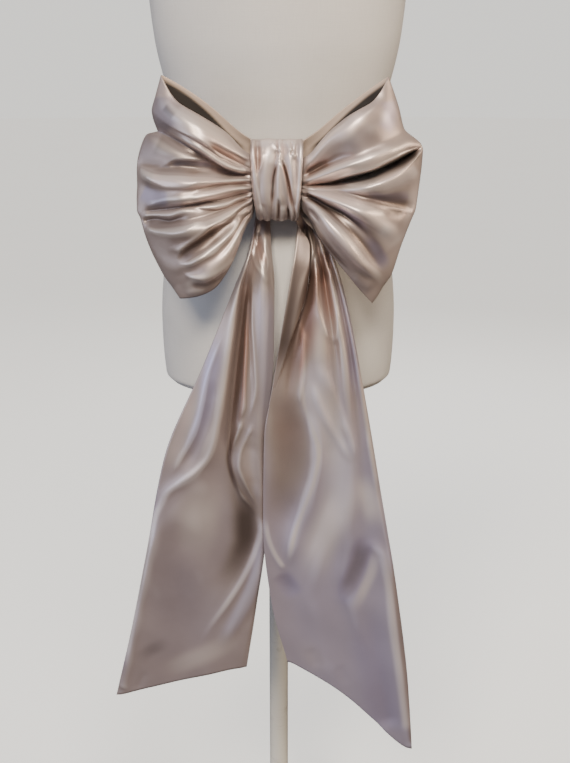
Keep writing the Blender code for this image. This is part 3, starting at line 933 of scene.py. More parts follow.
    def plain_grid(self, places: np.ndarray) -> np.ndarray:
        """Points in metres, (places, columns, 3), before anything is pressed in.

        Args:
            places: -1 at the knot in front, 0 at the outer fold, 1 at the knot behind.
        """
        turn = np.sqrt(1.0 - np.array(self.stations))
        knots = np.concatenate([-turn, turn[-2::-1]])
        around = smooth(knots, self.stations_grid(), places)
        crisp = [row[-1] for row in self.table]
        columns = row_places(len(self.table), self.per_gap)
        across = smooth(np.arange(len(self.table)), np.swapaxes(around, 0, 1), columns,
                        crisp)
        grid = np.swapaxes(across, 0, 1) * MM
        grid = soften(soften(grid, self.evening[0], 0), self.evening[1], 1)
        share, start, reach = self.draw_in
        hidden = ease((start - grid[:, :, 0] / MM) / reach)
        middle = np.array([KNOT_Y, -KNOT_DROP])
        grid[:, :, 1:] += (middle - grid[:, :, 1:]) * (share * hidden)[:, :, None]
        grid[:, :, 0] *= self.side
        grid[:, :, 2] += KNOT_Z
        return grid

    def painted_shade_inside_of(self, grid: np.ndarray, places: np.ndarray) -> np.ndarray:
        """How much painted shade the reverse takes at each point, from 0 to 1.

        Args:
            grid: points in metres, the first column along the opening edge.
            places: -1 at the knot in front, 0 at the outer fold, 1 at the knot behind.
        """
        deep = np.linalg.norm(np.diff(grid, axis=1), axis=2) / MM
        deep = np.concatenate([0 * deep[:, :1], np.cumsum(deep, axis=1)], axis=1)
        away = np.abs(grid[:, :, 0]) / MM
        rolled = smooth(*zip(*self.rolled), away.ravel()).reshape(away.shape)
        start, reach = self.inside_start
        inside = ease((deep - rolled) / self.inside_edge) * ease((away - start) / reach)
        return np.where(places[:, None] < 0, 1.0, inside)

    def build(self) -> bpy.types.Object:
        """Builds the loop's mesh."""
        places = np.concatenate([np.linspace(-1.0, 0.0, self.front_steps),
                                 np.linspace(0.0, 1.0, self.back_steps)[1:]])
        grid = self.plain_grid(places)
        out = np.abs(grid[:, :, 0]) / MM - self.ring_x
        reach, end = self.free
        free = ease(out / reach) * ease(-places / end)[:, None]
        grid = press(grid, self.creases, FORWARD, free)
        reach, end = self.loose
        loose = ease(out / reach) * ease(np.abs(places) / end)[:, None]
        grid += (ripple(grid, *self.waves, self.seed) * loose)[:, :, None] * FORWARD
        start, reach = self.relief_start
        relief = relief_of(grid, *RELIEF_REACH, self.fold_shade)
        relief = 0.5 + (relief - 0.5) * ease((out - start) / reach)
        inside = self.painted_shade_inside_of(grid, places)
        paint = painted_light_of(grid, self.light_patches, free)
        if self.side < 0:
            grid, relief, inside, paint = (part[:, ::-1] for part in
                                           (grid, relief, inside, paint))
        return sheet_object(self.name, grid, WALL, relief=relief, inside=inside,
                            paint=paint)


LEFT_FOLDS = (
    ("opening edge", 30.0, 50.0, 72.0, 90.0, 136.0, 119.0, 18.0, 31.0, 18.0, 0, 0.0),
    ("top panel", 25.0, 41.5, 60.0, 76.0, 143.0, 96.0, 29.0, 44.0, 26.0, 1, 0.0),
    ("upper ridge", 17.0, 31.0, 50.0, 64.0, 148.0, 79.0, 33.0, 46.0, 23.0, 1, 0.0),
    ("shallow leaf", 14.0, 22.0, 45.0, 60.0, 147.0, 71.0, 27.0, 43.0, 21.5, 0, 0.0),
    ("lower ridge", 11.0, 15.0, 39.0, 55.0, 145.0, 64.0, 32.0, 44.0, 20.0, 1, 0.1),
    ("crease one", 6.0, 9.0, 30.0, 47.0, 141.5, 54.5, 13.0, 29.0, 15.0, -1, 0.5),
    ("second panel", 4.5, 5.5, 24.5, 34.0, 155.0, 51.0, 13.0, 34.0, 22.0, 0, 0.0),
    ("dark leaf", 2.0, 2.5, 14.0, 16.0, 167.0, 20.0, 17.0, 31.0, 15.0, 0, 0.0),
    ("broad ridge", -1.0, -1.0, 0.0, 3.0, 168.0, 7.0, 28.0, 49.0, 26.0, 1, 0.0),
    ("small crease", -7.0, -5.0, -9.0, -9.0, 168.0, -8.0, 23.0, 43.0, 22.0, -1, 0.7),
    ("middle ridge", -11.0, -12.5, -19.0, -22.0, 169.0, -24.0, 31.0, 46.0, 20.0, 1, 0.2),
    ("long valley", -17.0, -21.0, -28.0, -36.0, 169.0, -39.0, 23.0, 34.0, 15.0, -1, 1.0),
    ("thin ridge", -21.0, -26.5, -34.0, -43.0, 165.0, -47.0, 26.0, 38.0, 17.0, 1, 0.2),
    ("thin valley", -24.5, -33.0, -43.0, -51.0, 163.0, -55.0, 23.0, 36.0, 16.0, -1, 0.8),
    ("rising ridge", -28.0, -42.0, -56.0, -63.0, 160.0, -66.0, 30.0, 45.0, 22.0, 1, 0.1),
    ("deep leaf", -32.5, -50.0, -70.0, -86.0, 153.0, -85.0, 20.0, 36.0, 20.0, -1, 0.2),
    ("low ridge", -38.0, -62.0, -86.0, -103.0, 144.0, -104.0, 24.0, 37.0, 20.0, 1, 0.1),
    ("hem hollow", -41.0, -70.0, -96.0, -114.0, 137.0, -117.0, 20.0, 32.0, 17.0, 0, 0.0),
    ("hem ridge", -43.5, -78.0, -106.0, -123.0, 129.0, -128.0, 23.0, 32.0, 16.0, 1, 0.0),
    ("lower edge", -48.0, -91.0, -129.0, -140.0, 119.0, -143.0, 8.0, 16.0, 10.0, 0, 0.0),
)
RIGHT_FOLDS = (
    ("opening edge", 26.0, 46.0, 73.0, 90.0, 131.0, 117.0, 15.0, 26.0, 17.0, 0, 0.0),
    ("bright ridge", 15.0, 40.0, 63.0, 86.0, 136.0, 104.0, 25.0, 35.0, 20.0, 1, 0.1),
    ("big panel", 9.0, 28.0, 48.0, 66.0, 144.0, 82.0, 20.0, 38.0, 25.0, 0, 0.0),
    ("crease one", 4.0, 17.5, 31.0, 47.0, 151.0, 57.0, 14.0, 38.0, 24.0, -1, 0.4),
    ("upper ridge", -2.5, 10.0, 23.0, 37.0, 165.0, 46.0, 31.0, 44.0, 25.0, 1, 0.1),
    ("ridge foot", -5.5, 1.5, 11.0, 28.0, 171.0, 40.5, 24.0, 37.0, 19.0, 0, 0.0),
    ("open pleat", -8.5, -6.0, 3.5, 22.0, 173.0, 37.0, 8.0, 7.0, 8.0, -1, 0.6),
    ("pleat lip", -10.5, -9.5, -1.5, 17.0, 174.0, 33.0, 17.0, 37.0, 22.0, 0, 0.5),
    ("flap", -11.5, -11.0, -8.0, 7.0, 173.0, 15.0, 23.0, 45.0, 26.0, 0, 0.0),
    ("crease two", -13.0, -13.5, -20.0, -30.0, 167.0, -37.0, 20.0, 37.0, 18.0, -1, 0.9),
    ("middle ridge", -17.0, -20.0, -32.0, -46.0, 161.0, -51.0, 31.0, 47.0, 24.0, 1, 0.1),
    ("low panel", -19.0, -25.0, -44.0, -73.0, 150.0, -80.0, 21.0, 37.0, 22.0, 0, 0.0),
    ("slant valley", -22.0, -31.0, -55.0, -95.0, 139.0, -115.0, 14.0, 30.0, 18.0, -1, 0.5),
    ("low ridge", -27.0, -39.0, -68.0, -106.0, 129.0, -129.0, 28.0, 40.0, 21.0, 1, 0.2),
    ("dimple", -33.0, -52.0, -84.0, -119.0, 122.0, -141.0, 20.0, 29.0, 15.0, 0, 0.0),
    ("lower edge", -40.0, -67.0, -99.0, -131.0, 116.0, -149.0, 9.0, 16.0, 10.0, 0, 0.0),
)
LEFT_CREASES = (
    Crease("lip of the opening", Profile.CUSP, 3.0, 1.2, (0.1, 0.2), (
        (-117, 86), (-88, 70), (-64, 55), (-43, 42), (-32, 32))),
    Crease("hollow, upper rim", Profile.CUSP, 3.5, 1.5, (0.3, 0.1), (
        (-93, 57), (-81, 51), (-66, 44), (-49, 33), (-32, 19))),
    Crease("hollow", Profile.LEAF, 4.5, -2.6, (0.3, 0.05), (
        (-80, 45), (-64, 34), (-48, 25), (-32, 16))),
    Crease("hollow, lower rim", Profile.CUSP, 4.0, 2.0, (0.3, 0.1), (
        (-103, 58), (-89, 49), (-78, 39), (-67, 29), (-56, 18), (-32, 11))),
    Crease("upper panel lies over", Profile.FLAP, 9.0, 1.8, (0.4, 0.1), (
        (-123, 44), (-106, 35), (-87, 27), (-69, 15), (-49, 7), (-32, 4))),
    Crease("first crease", Profile.CUSP, 4.0, -2.4, (0.7, 0.02), (
        (-111, 36), (-89, 28), (-76, 22), (-64, 14), (-49, 7), (-32, 4))),
    Crease("grey leaf, rim", Profile.CUSP, 4.0, 1.2, (0.2, 0.3), (
        (-138, 17), (-128, 21), (-114, 24), (-95, 25), (-78, 22), (-64, 16))),
    Crease("grey leaf", Profile.LEAF, 5.0, -1.8, (0.2, 0.3), (
        (-128, 18), (-111, 19), (-92, 18), (-73, 14))),
    Crease("outer lip", Profile.CUSP, 3.0, 1.8, (0.1, 0.4), (
        (-165, 11), (-151, 12), (-136, 16), (-123, 22))),
    Crease("broad ridge", Profile.ROLL, 7.0, 3.2, (0.1, 0.1), (
        (-164, 9), (-145, -1), (-127, -6), (-106, -5), (-90, 0), (-72, 3), (-32, 2))),
    Crease("broad ridge, crest", Profile.CUSP, 3.0, 1.4, (0.1, 0.1), (
        (-164, 9), (-145, -1), (-127, -6), (-106, -5), (-90, 1), (-72, 4), (-32, 3))),
    Crease("small hollow", Profile.LEAF, 3.8, -1.8, (0.4, 0.02), (
        (-95, -9), (-78, -7), (-61, -5), (-44, -5), (-32, -6))),
    Crease("second ridge", Profile.CUSP, 3.6, 2.6, (0.12, 0.1), (
        (-99, -15), (-90, -19), (-79, -17), (-65, -13), (-50, -9), (-32, -9))),
    Crease("turn above the long crease", Profile.CUSP, 5.0, 2.2, (0.2, 0.4), (
        (-159, -34), (-143, -26), (-125, -21), (-108, -19), (-91, -21))),
    Crease("long crease", Profile.CUSP, 4.0, -3.6, (0.1, 0.02), (
        (-163, -39), (-140, -35), (-120, -31), (-100, -27), (-81, -25), (-65, -24),
        (-48, -19), (-32, -16))),
    Crease("knobbly ridge", Profile.ROLL, 3.6, 3.0, (0.2, 0.1), (
        (-96, -29), (-77, -30), (-58, -28), (-46, -23), (-40, -21), (-32, -19))),
    Crease("thin ridge", Profile.CUSP, 3.4, 2.2, (0.1, 0.2), (
        (-161, -43), (-143, -41), (-125, -39), (-113, -33), (-100, -30))),
    Crease("thin crease", Profile.CUSP, 3.2, -3.0, (0.2, 0.02), (
        (-105, -32), (-88, -32), (-73, -34), (-60, -32), (-46, -26), (-32, -22))),
    Crease("curled hollow", Profile.ROLL, 3.8, -3.4, (0.1, 0.3), (
        (-160, -54), (-156, -49), (-143, -46), (-129, -47), (-116, -43), (-101, -36))),
    Crease("curled ridge", Profile.CUSP, 3.6, 2.8, (0.1, 0.2), (
        (-159, -57), (-144, -60), (-126, -60), (-109, -56), (-94, -47), (-82, -44))),
    Crease("rising ridge", Profile.CUSP, 4.2, 3.4, (0.2, 0.05), (
        (-134, -81), (-117, -79), (-102, -70), (-89, -61), (-78, -51), (-66, -45), (-55, -41),
        (-41, -39), (-33, -31), (-29, -25))),
    Crease("big leaf", Profile.LEAF, 8.5, -3.6, (0.2, 0.3), (
        (-117, -94), (-101, -82), (-84, -70), (-69, -59), (-49, -50))),
    Crease("big leaf, lower rim", Profile.CUSP, 4.0, 3.0, (0.2, 0.2), (
        (-110, -98), (-92, -89), (-76, -83), (-66, -73), (-56, -63), (-47, -54), (-38, -47))),
    Crease("low panel", Profile.ROLL, 9.0, 2.2, (0.3, 0.3), (
        (-97, -101), (-78, -96), (-61, -84), (-53, -70))),
    Crease("swinging ridge", Profile.CUSP, 3.6, 4.0, (0.15, 0.05), (
        (-115, -105), (-105, -111), (-88, -113), (-73, -108), (-61, -100), (-51, -91),
        (-46, -79), (-46, -66), (-41, -57), (-34, -46), (-29, -35))),
    Crease("gather crease", Profile.CUSP, 2.6, -2.8, (0.3, 0.02), (
        (-47, -49), (-39, -42), (-33, -33), (-29, -28))),
    Crease("hem hollow", Profile.ROLL, 5.0, -2.4, (0.3, 0.3), (
        (-108, -121), (-90, -123), (-76, -118), (-59, -104))),
    Crease("hem ridge", Profile.CUSP, 3.6, 1.6, (0.2, 0.3), (
        (-113, -135), (-96, -130), (-81, -124), (-70, -117))),
)
RIGHT_CREASES = (
    Crease("bright ridge", Profile.ROLL, 8.0, 1.4, (0.05, 0.2), (
        (31, 10), (41, 24), (56, 38), (73, 49), (87, 61), (98, 72), (110, 83), (123, 96))),
    Crease("bright ridge, crest", Profile.CUSP, 4.0, 1.0, (0.05, 0.2), (
        (31, 19), (48, 38), (67, 55), (86, 70), (105, 84))),
    Crease("inner fold", Profile.CUSP, 3.0, -2.0, (0.05, 0.5), (
        (31, 29), (42, 39), (56, 51), (71, 62), (86, 73))),
    Crease("first crease", Profile.CUSP, 5.0, -3.6, (0.02, 0.7), (
        (31, 5), (41, 13), (53, 20), (64, 25))),
    Crease("pink tongue", Profile.ROLL, 4.5, 2.2, (0.1, 0.3), (
        (34, 0), (53, 9), (71, 17), (85, 23), (99, 27))),
    Crease("tongue foot", Profile.ROLL, 3.0, -0.8, (0.1, 0.4), (
        (31, 1), (48, 8), (66, 15), (83, 22))),
    Crease("second ridge", Profile.CUSP, 3.6, 1.4, (0.05, 0.3), (
        (31, -2), (48, 3), (66, 10), (85, 19), (102, 27))),
    Crease("open pleat", Profile.LEAF, 5.6, -8.0, (0.35, 0.25), (
        (62, -4), (80, 0), (95, 3), (112, 7), (129, 14), (144, 20), (158, 27), (171, 35))),
    Crease("flap edge", Profile.FLAP, 6.0, -3.5, (0.3, 0.3), (
        (74, -5), (88, -4), (102, -3), (118, 1), (133, 6), (147, 13), (159, 22), (171, 32))),
    Crease("flap sheen", Profile.ROLL, 9.0, 2.0, (0.3, 0.2), (
        (110, -7), (129, -3), (146, 3), (165, 11))),
    Crease("thin crease", Profile.CUSP, 4.0, -3.0, (0.2, 0.05), (
        (53, -8), (68, -11), (86, -14), (103, -18), (122, -23), (142, -29), (165, -37))),
    Crease("thin crease, rim", Profile.CUSP, 2.8, 2.0, (0.3, 0.05), (
        (95, -19), (113, -24), (135, -31), (164, -39))),
    Crease("cream ridge", Profile.ROLL, 7.0, 3.6, (0.05, 0.2), (
        (32, -13), (48, -16), (66, -21), (84, -29), (101, -38), (118, -49), (136, -60),
        (151, -65))),
    Crease("cream ridge, crest", Profile.CUSP, 3.6, 1.4, (0.05, 0.3), (
        (32, -13), (48, -15), (66, -21), (84, -28), (101, -37), (116, -47))),
    Crease("grey dimple", Profile.ROLL, 6.0, -1.6, (0.4, 0.3), (
        (123, -33), (138, -39), (153, -42))),
    Crease("slant crease", Profile.ROLL, 4.4, -2.5, (0.05, 0.5), (
        (34, -17), (47, -23), (61, -30), (78, -38), (91, -47), (104, -59), (112, -72))),
    Crease("slant crease, floor", Profile.CUSP, 3.4, -3.2, (0.02, 0.5), (
        (32, -15), (47, -23), (61, -30), (78, -38), (91, -47), (104, -59), (112, -72))),
    Crease("blue hollow", Profile.ROLL, 8.0, -1.8, (0.4, 0.4), (
        (101, -51), (114, -68), (125, -87), (133, -106))),
    Crease("pink ridge", Profile.ROLL, 6.5, 2.8, (0.1, 0.2), (
        (46, -35), (58, -50), (71, -65), (87, -81), (102, -97), (117, -109), (131, -116))),
    Crease("pink ridge, crest", Profile.CUSP, 3.2, 1.4, (0.2, 0.2), (
        (51, -45), (65, -60), (81, -76), (97, -93), (115, -107))),
    Crease("dimple", Profile.LEAF, 3.2, -2.0, (0.2, 0.4), (
        (37, -34), (45, -40), (52, -49))),
    Crease("low crest", Profile.CUSP, 3.2, 2.4, (0.1, 0.3), (
        (32, -25), (40, -39), (50, -54), (60, -69), (72, -84), (86, -99))),
    Crease("low hollow", Profile.ROLL, 3.6, -2.2, (0.1, 0.3), (
        (38, -46), (49, -61), (61, -76), (76, -93), (94, -112))),
    Crease("hem sheen", Profile.ROLL, 7.0, 1.6, (0.3, 0.3), (
        (87, -108), (102, -120), (118, -130))),
)
# Patches of painted reflection, highlight and shade on the left loop.
LEFT_LIGHT_PATCHES = (
    PaintedLightPatch("outer shade", 46.0, 0, -0.26, (0.3, 0.3), (
        (-146, 136), (-163, 33), (-167, -62), (-132, -158))),
    PaintedLightPatch("outer lilac", 16.0, -0.3, -0.35, (0.1, 0.2), (
        (-136, 96), (-134, 73), (-122, 55))),
    PaintedLightPatch("soft spot", 5.0, 0, -0.45, (0.2, 0.2), (
        (-132, 84), (-125, 78), (-118, 72))),
    PaintedLightPatch("pale panel", 6.0, 0.35, 0.35, (0.2, 0.2), (
        (-105, 60), (-84, 50), (-64, 38), (-43, 23))),
    PaintedLightPatch("hollow", 4.5, 0.5, -0.3, (0.2, 0.1), (
        (-80, 45), (-64, 34), (-48, 25), (-35, 18))),
    PaintedLightPatch("second panel", 15.0, 0.05, -0.42, (0.1, 0.2), (
        (-142, 45), (-125, 36), (-106, 27), (-85, 21))),
    PaintedLightPatch("edge of second panel", 15.0, -0.1, -0.3, (0.1, 0.3), (
        (-152, 54), (-156, 36), (-155, 18))),
    PaintedLightPatch("grey leaf", 4.0, -0.4, -0.4, (0.2, 0.2), (
        (-126, 19), (-111, 21), (-92, 20), (-73, 16))),
    PaintedLightPatch("broad ridge", 8.0, 0.35, 0.45, (0.1, 0.2), (
        (-151, 2), (-132, -4), (-106, -3), (-84, 1), (-57, 2))),
    PaintedLightPatch("blue outer field", 11.0, -0.6, -0.15, (0.1, 0.2), (
        (-161, -14), (-147, -20), (-125, -20))),
    PaintedLightPatch("cream ridge", 4.0, 0.4, 0.3, (0.2, 0.2), (
        (-95, -18), (-79, -15), (-61, -11), (-44, -8))),
    PaintedLightPatch("turned leaf", 7.0, 0.1, -0.5, (0.1, 0.3), (
        (-156, -51), (-141, -52), (-122, -50), (-101, -43))),
    PaintedLightPatch("taupe panel", 9.0, 0.15, -0.4, (0.2, 0.2), (
        (-135, -72), (-110, -68), (-86, -56), (-65, -46))),
    PaintedLightPatch("big leaf", 9.0, 0.2, -0.7, (0.2, 0.2), (
        (-117, -92), (-98, -79), (-82, -68), (-65, -59))),
    PaintedLightPatch("pink panel", 7.0, 0.3, 0.2, (0.2, 0.2), (
        (-105, -104), (-85, -98), (-68, -89), (-54, -76))),
    PaintedLightPatch("hem shade", 6.0, 0.1, -0.25, (0.2, 0.2), (
        (-103, -124), (-86, -122), (-71, -114))),
    PaintedLightPatch("hem cream", 5.0, 0.2, 0.3, (0.1, 0.2), (
        (-123, -125), (-113, -133), (-96, -130))),
    PaintedLightPatch("dark by the knot", 3.5, 0.3, -0.65, (0.6, 0), (
        (-64, 14), (-48, 7), (-25, 4))),
    PaintedLightPatch("second dark", 3.0, 0.3, -0.4, (0.6, 0), (
        (-58, -5), (-44, -5), (-25, -6))),
    PaintedLightPatch("third dark", 3.0, 0.3, -0.55, (0.6, 0), (
        (-65, -25), (-46, -20), (-25, -13))),
    PaintedLightPatch("fourth dark", 2.5, 0.3, -0.45, (0.6, 0), (
        (-60, -33), (-44, -28), (-24, -19))),
    PaintedLightPatch("fifth dark", 3.0, 0.3, -0.6, (0.5, 0), (
        (-47, -56), (-36, -43), (-24, -23))),
)
# Patches of painted reflection, highlight and shade on the right loop.
RIGHT_LIGHT_PATCHES = (
    PaintedLightPatch("outer cream", 10.0, 0.35, 0.4, (0.3, 0.3), (
        (171, 19), (168, -11), (160, -48), (148, -82), (135, -113))),
    PaintedLightPatch("bright ridge", 7.0, 0.3, 0.4, (0.1, 0.2), (
        (34, 14), (50, 33), (71, 49), (89, 63), (108, 80))),
    PaintedLightPatch("first crease", 5.0, 0.4, -0.3, (0.1, 0.5), (
        (34, 3), (50, 14), (69, 24))),
    PaintedLightPatch("pink tongue", 5.0, 0.5, 0.25, (0.2, 0.2), (
        (53, 16), (73, 24), (94, 31))),
    PaintedLightPatch("outer lilac", 9.0, -0.5, 0, (0.1, 0.2), (
        (130, 91), (132, 71), (123, 55))),
    PaintedLightPatch("upper panel", 16.0, -0.1, -0.42, (0.4, 0.2), (
        (68, 33), (87, 44), (108, 54), (132, 64))),
    PaintedLightPatch("upper ridge cream", 5.0, 0.2, 0.2, (0.4, 0.3), (
        (91, 21), (115, 26), (140, 35))),
    PaintedLightPatch("pleat", 7.0, 0.1, -1.0, (0.35, 0.1), (
        (76, -1), (95, 2), (113, 7), (131, 13), (148, 20), (160, 27), (171, 34))),
    PaintedLightPatch("flap cream", 9.0, 0.45, 0.65, (0.3, 0.1), (
        (112, -8), (132, -3), (149, 3), (167, 14))),
    PaintedLightPatch("flap shade", 6.0, -0.5, -0.1, (0.3, 0.2), (
        (100, -14), (122, -18), (147, -20), (167, -23))),
    PaintedLightPatch("cream ridge", 8.0, 0.45, 0.55, (0.1, 0.2), (
        (37, -12), (58, -17), (79, -23), (101, -34), (126, -55), (149, -68))),
    PaintedLightPatch("cream end", 13.0, 0.4, 0.5, (0.4, 0.2), (
        (113, -49), (133, -67), (144, -80))),
    PaintedLightPatch("grey dimple", 5.0, 0, -0.55, (0.5, 0.3), (
        (120, -32), (138, -36), (156, -41))),
    PaintedLightPatch("lilac below the ridge", 6.0, -0.7, -0.15, (0.3, 0.4), (
        (58, -24), (79, -34), (96, -46), (111, -65))),
    PaintedLightPatch("slant crease", 3.5, 0.2, -0.8, (0.05, 0.6), (
        (32, -16), (51, -25), (74, -36), (94, -49), (109, -66))),
    PaintedLightPatch("blue hollow", 8.0, -0.8, -0.25, (0.4, 0.3), (
        (101, -56), (114, -73), (124, -91), (133, -109))),
    PaintedLightPatch("pink ridge", 7.0, 0.35, 0.3, (0.1, 0.2), (
        (49, -40), (65, -57), (84, -77), (104, -98), (125, -113))),
    PaintedLightPatch("low hollow", 5.0, 0.3, -0.5, (0.1, 0.3), (
        (38, -46), (51, -63), (66, -81), (82, -98))),
    PaintedLightPatch("low panel", 7.0, -0.1, -0.1, (0.2, 0.2), (
        (87, -110), (102, -123), (115, -134))),
    PaintedLightPatch("dark by the knot", 4.0, 0.3, -0.9, (0, 0.6), (
        (22, 3), (39, 10), (57, 20))),
    PaintedLightPatch("second dark", 3.0, 0.4, -0.7, (0, 0.6), (
        (22, -7), (45, -7), (67, -7))),
    PaintedLightPatch("third dark", 4.0, 0.3, -0.9, (0, 0.6), (
        (23, -12), (46, -24), (67, -36), (89, -51))),
    PaintedLightPatch("low dark", 4.0, 0.3, -0.9, (0, 0.6), (
        (25, -17), (36, -43), (50, -68))),
)
KNOT_CREASES = (
    Crease("left hollow", Profile.LEAF, 4.0, -2.6, (0.0, 0.5), (
        (-23, 43), (-23, 32), (-22, 21), (-23, 7))),
    Crease("left lip", Profile.CUSP, 1.8, 1.4, (0.05, 0.3), (
        (-29, 43), (-29, 26), (-26, 9), (-22, -9), (-19, -28), (-16, -44))),
    Crease("broad pleat, left side", Profile.CUSP, 2.2, 1.2, (0.1, 0.3), (
        (-15, 32), (-18, 19), (-21, 5), (-22, -12))),
    Crease("broad pleat, right side", Profile.CUSP, 1.8, 1.4, (0.1, 0.3), (
        (-1, 26), (-4, 14), (-7, -2), (-9, -21), (-9, -40))),
    Crease("middle crease", Profile.CUSP, 2.0, -4.0, (0.3, 0.3), (
        (2, 26), (-1, 13), (-5, -1), (-6, -14), (-7, -31))),
    Crease("deep of the crease", Profile.LEAF, 1.6, -3.0, (0.4, 0.4), (
        (-4, 0), (-5, -9), (-6, -19))),
    Crease("slim pleat", Profile.CUSP, 2.2, 2.2, (0.1, 0.2), (
        (3, 23), (2, 7), (2, -12), (5, -31))),
    Crease("slim pleat, right rim", Profile.CUSP, 1.6, 1.8, (0.1, 0.1), (
        (5, 21), (8, 2), (12, -19), (17, -35), (20, -48))),
    Crease("brown crease", Profile.LEAF, 2.4, -3.2, (0.1, 0.1), (
        (5, 23), (10, 10), (14, -5), (17, -20), (20, -35), (23, -48))),
    Crease("right pleat", Profile.CUSP, 2.4, 1.6, (0.1, 0.3), (
        (12, 35), (16, 17), (19, 0), (21, -19), (23, -33))),
    Crease("right lip", Profile.CUSP, 1.8, 1.6, (0.05, 0.1), (
        (30, 43), (29, 27), (27, 9), (27, -12), (24, -31), (24, -47))),
    Crease("right groove", Profile.CUSP, 1.6, -1.8, (0.2, 0.2), (
        (25, 26), (25, 6), (24, -12))),
    Crease("first tuck, left arm", Profile.CUSP, 1.5, 2.4, (0.1, 0.1), (
        (-5, 42), (-2, 37), (1, 32))),
    Crease("first tuck, right arm", Profile.CUSP, 1.5, 2.2, (0.1, 0.1), (
        (4, 42), (3, 37), (2, 32))),
    Crease("tuck hollow", Profile.LEAF, 1.8, -2.2, (0.1, 0.3), (
        (0, 43), (1, 36), (2, 26))),
    Crease("second tuck, long arm", Profile.CUSP, 1.6, 2.6, (0.1, 0.2), (
        (11, 42), (14, 36), (18, 30), (23, 24))),
    Crease("second tuck, short arm", Profile.CUSP, 1.5, 2.2, (0.1, 0.1), (
        (22, 41), (19, 36), (16, 32))),
    Crease("second tuck, hollow", Profile.LEAF, 1.6, -1.8, (0.1, 0.2), (
        (16, 42), (18, 36), (16, 27))),
    Crease("lower hollow", Profile.LEAF, 2.4, -3.0, (0.4, 0.0), (
        (2, -21), (2, -34), (1, -50))),
    Crease("strand", Profile.CUSP, 1.8, 2.0, (0.3, 0.0), (
        (8, -29), (7, -40), (6, -51))),
    Crease("lower right hollow", Profile.LEAF, 2.4, -3.0, (0.4, 0.0), (
        (12, -29), (14, -40), (15, -52))),
    Crease("curled tuck", Profile.CUSP, 1.8, 2.2, (0.3, 0.1), (
        (-21, -28), (-18, -38), (-14, -48))),
    Crease("curled tuck hollow", Profile.CUSP, 1.6, -2.2, (0.3, 0.1), (
        (-17, -27), (-14, -36), (-12, -48))),
)
# Patches of painted reflection, highlight and shade on the knot.
KNOT_LIGHT_PATCHES = (
    PaintedLightPatch("whole knot", 60.0, 0, 0.16, (0, 0), (
        (0, 136), (0, 46), (0, -47), (0, -145))),
    PaintedLightPatch("broad pleat", 5.0, 0.2, 0.35, (0.1, 0.3), (
        (-10, 31), (-12, 17), (-14, -2), (-15, -23))),
    PaintedLightPatch("left hollow", 6.0, 0.3, -0.4, (0.1, 0.3), (
        (-22, 39), (-22, 23), (-25, 5))),
    PaintedLightPatch("left lip", 1.6, 0.4, 0.8, (0.1, 0.1), (
        (-30, 39), (-28, 17), (-25, -2), (-21, -23), (-18, -42))),
    PaintedLightPatch("right lip", 1.6, 0.4, 0.8, (0.1, 0.1), (
        (29, 43), (28, 23), (26, 0), (24, -23), (21, -41))),
    PaintedLightPatch("pleat top", 4.0, 0.4, 0.8, (0.3, 0.5), (
        (-13, 32), (-8, 28), (-8, 16))),
    PaintedLightPatch("slim pleat", 3.5, 0.25, 0.35, (0.1, 0.2), (
        (4, 17), (4, -2), (6, -23))),
    PaintedLightPatch("middle crease", 2.2, 0.3, -0.85, (0.2, 0.2), (
        (0, 19), (-4, 2), (-5, -12), (-6, -28))),
    PaintedLightPatch("brown crease", 3.5, 0.6, -0.55, (0.1, 0.2), (
        (7, 19), (12, 2), (15, -14), (19, -33))),
    PaintedLightPatch("right pleat", 3.5, 0.2, 0.3, (0.1, 0.2), (
        (13, 32), (18, 14), (21, -7), (23, -26))),
    PaintedLightPatch("lower hollow", 2.6, 0.3, -0.9, (0.3, 0.1), (
        (2, -26), (2, -38), (1, -48))),
    PaintedLightPatch("lower right hollow", 2.6, 0.3, -0.9, (0.3, 0.1), (
        (12, -32), (14, -41), (15, -50))),
    PaintedLightPatch("top cream", 7.0, 0.35, 0.6, (0.1, 0.1), (
        (-22, 43), (-1, 44), (25, 43))),
)


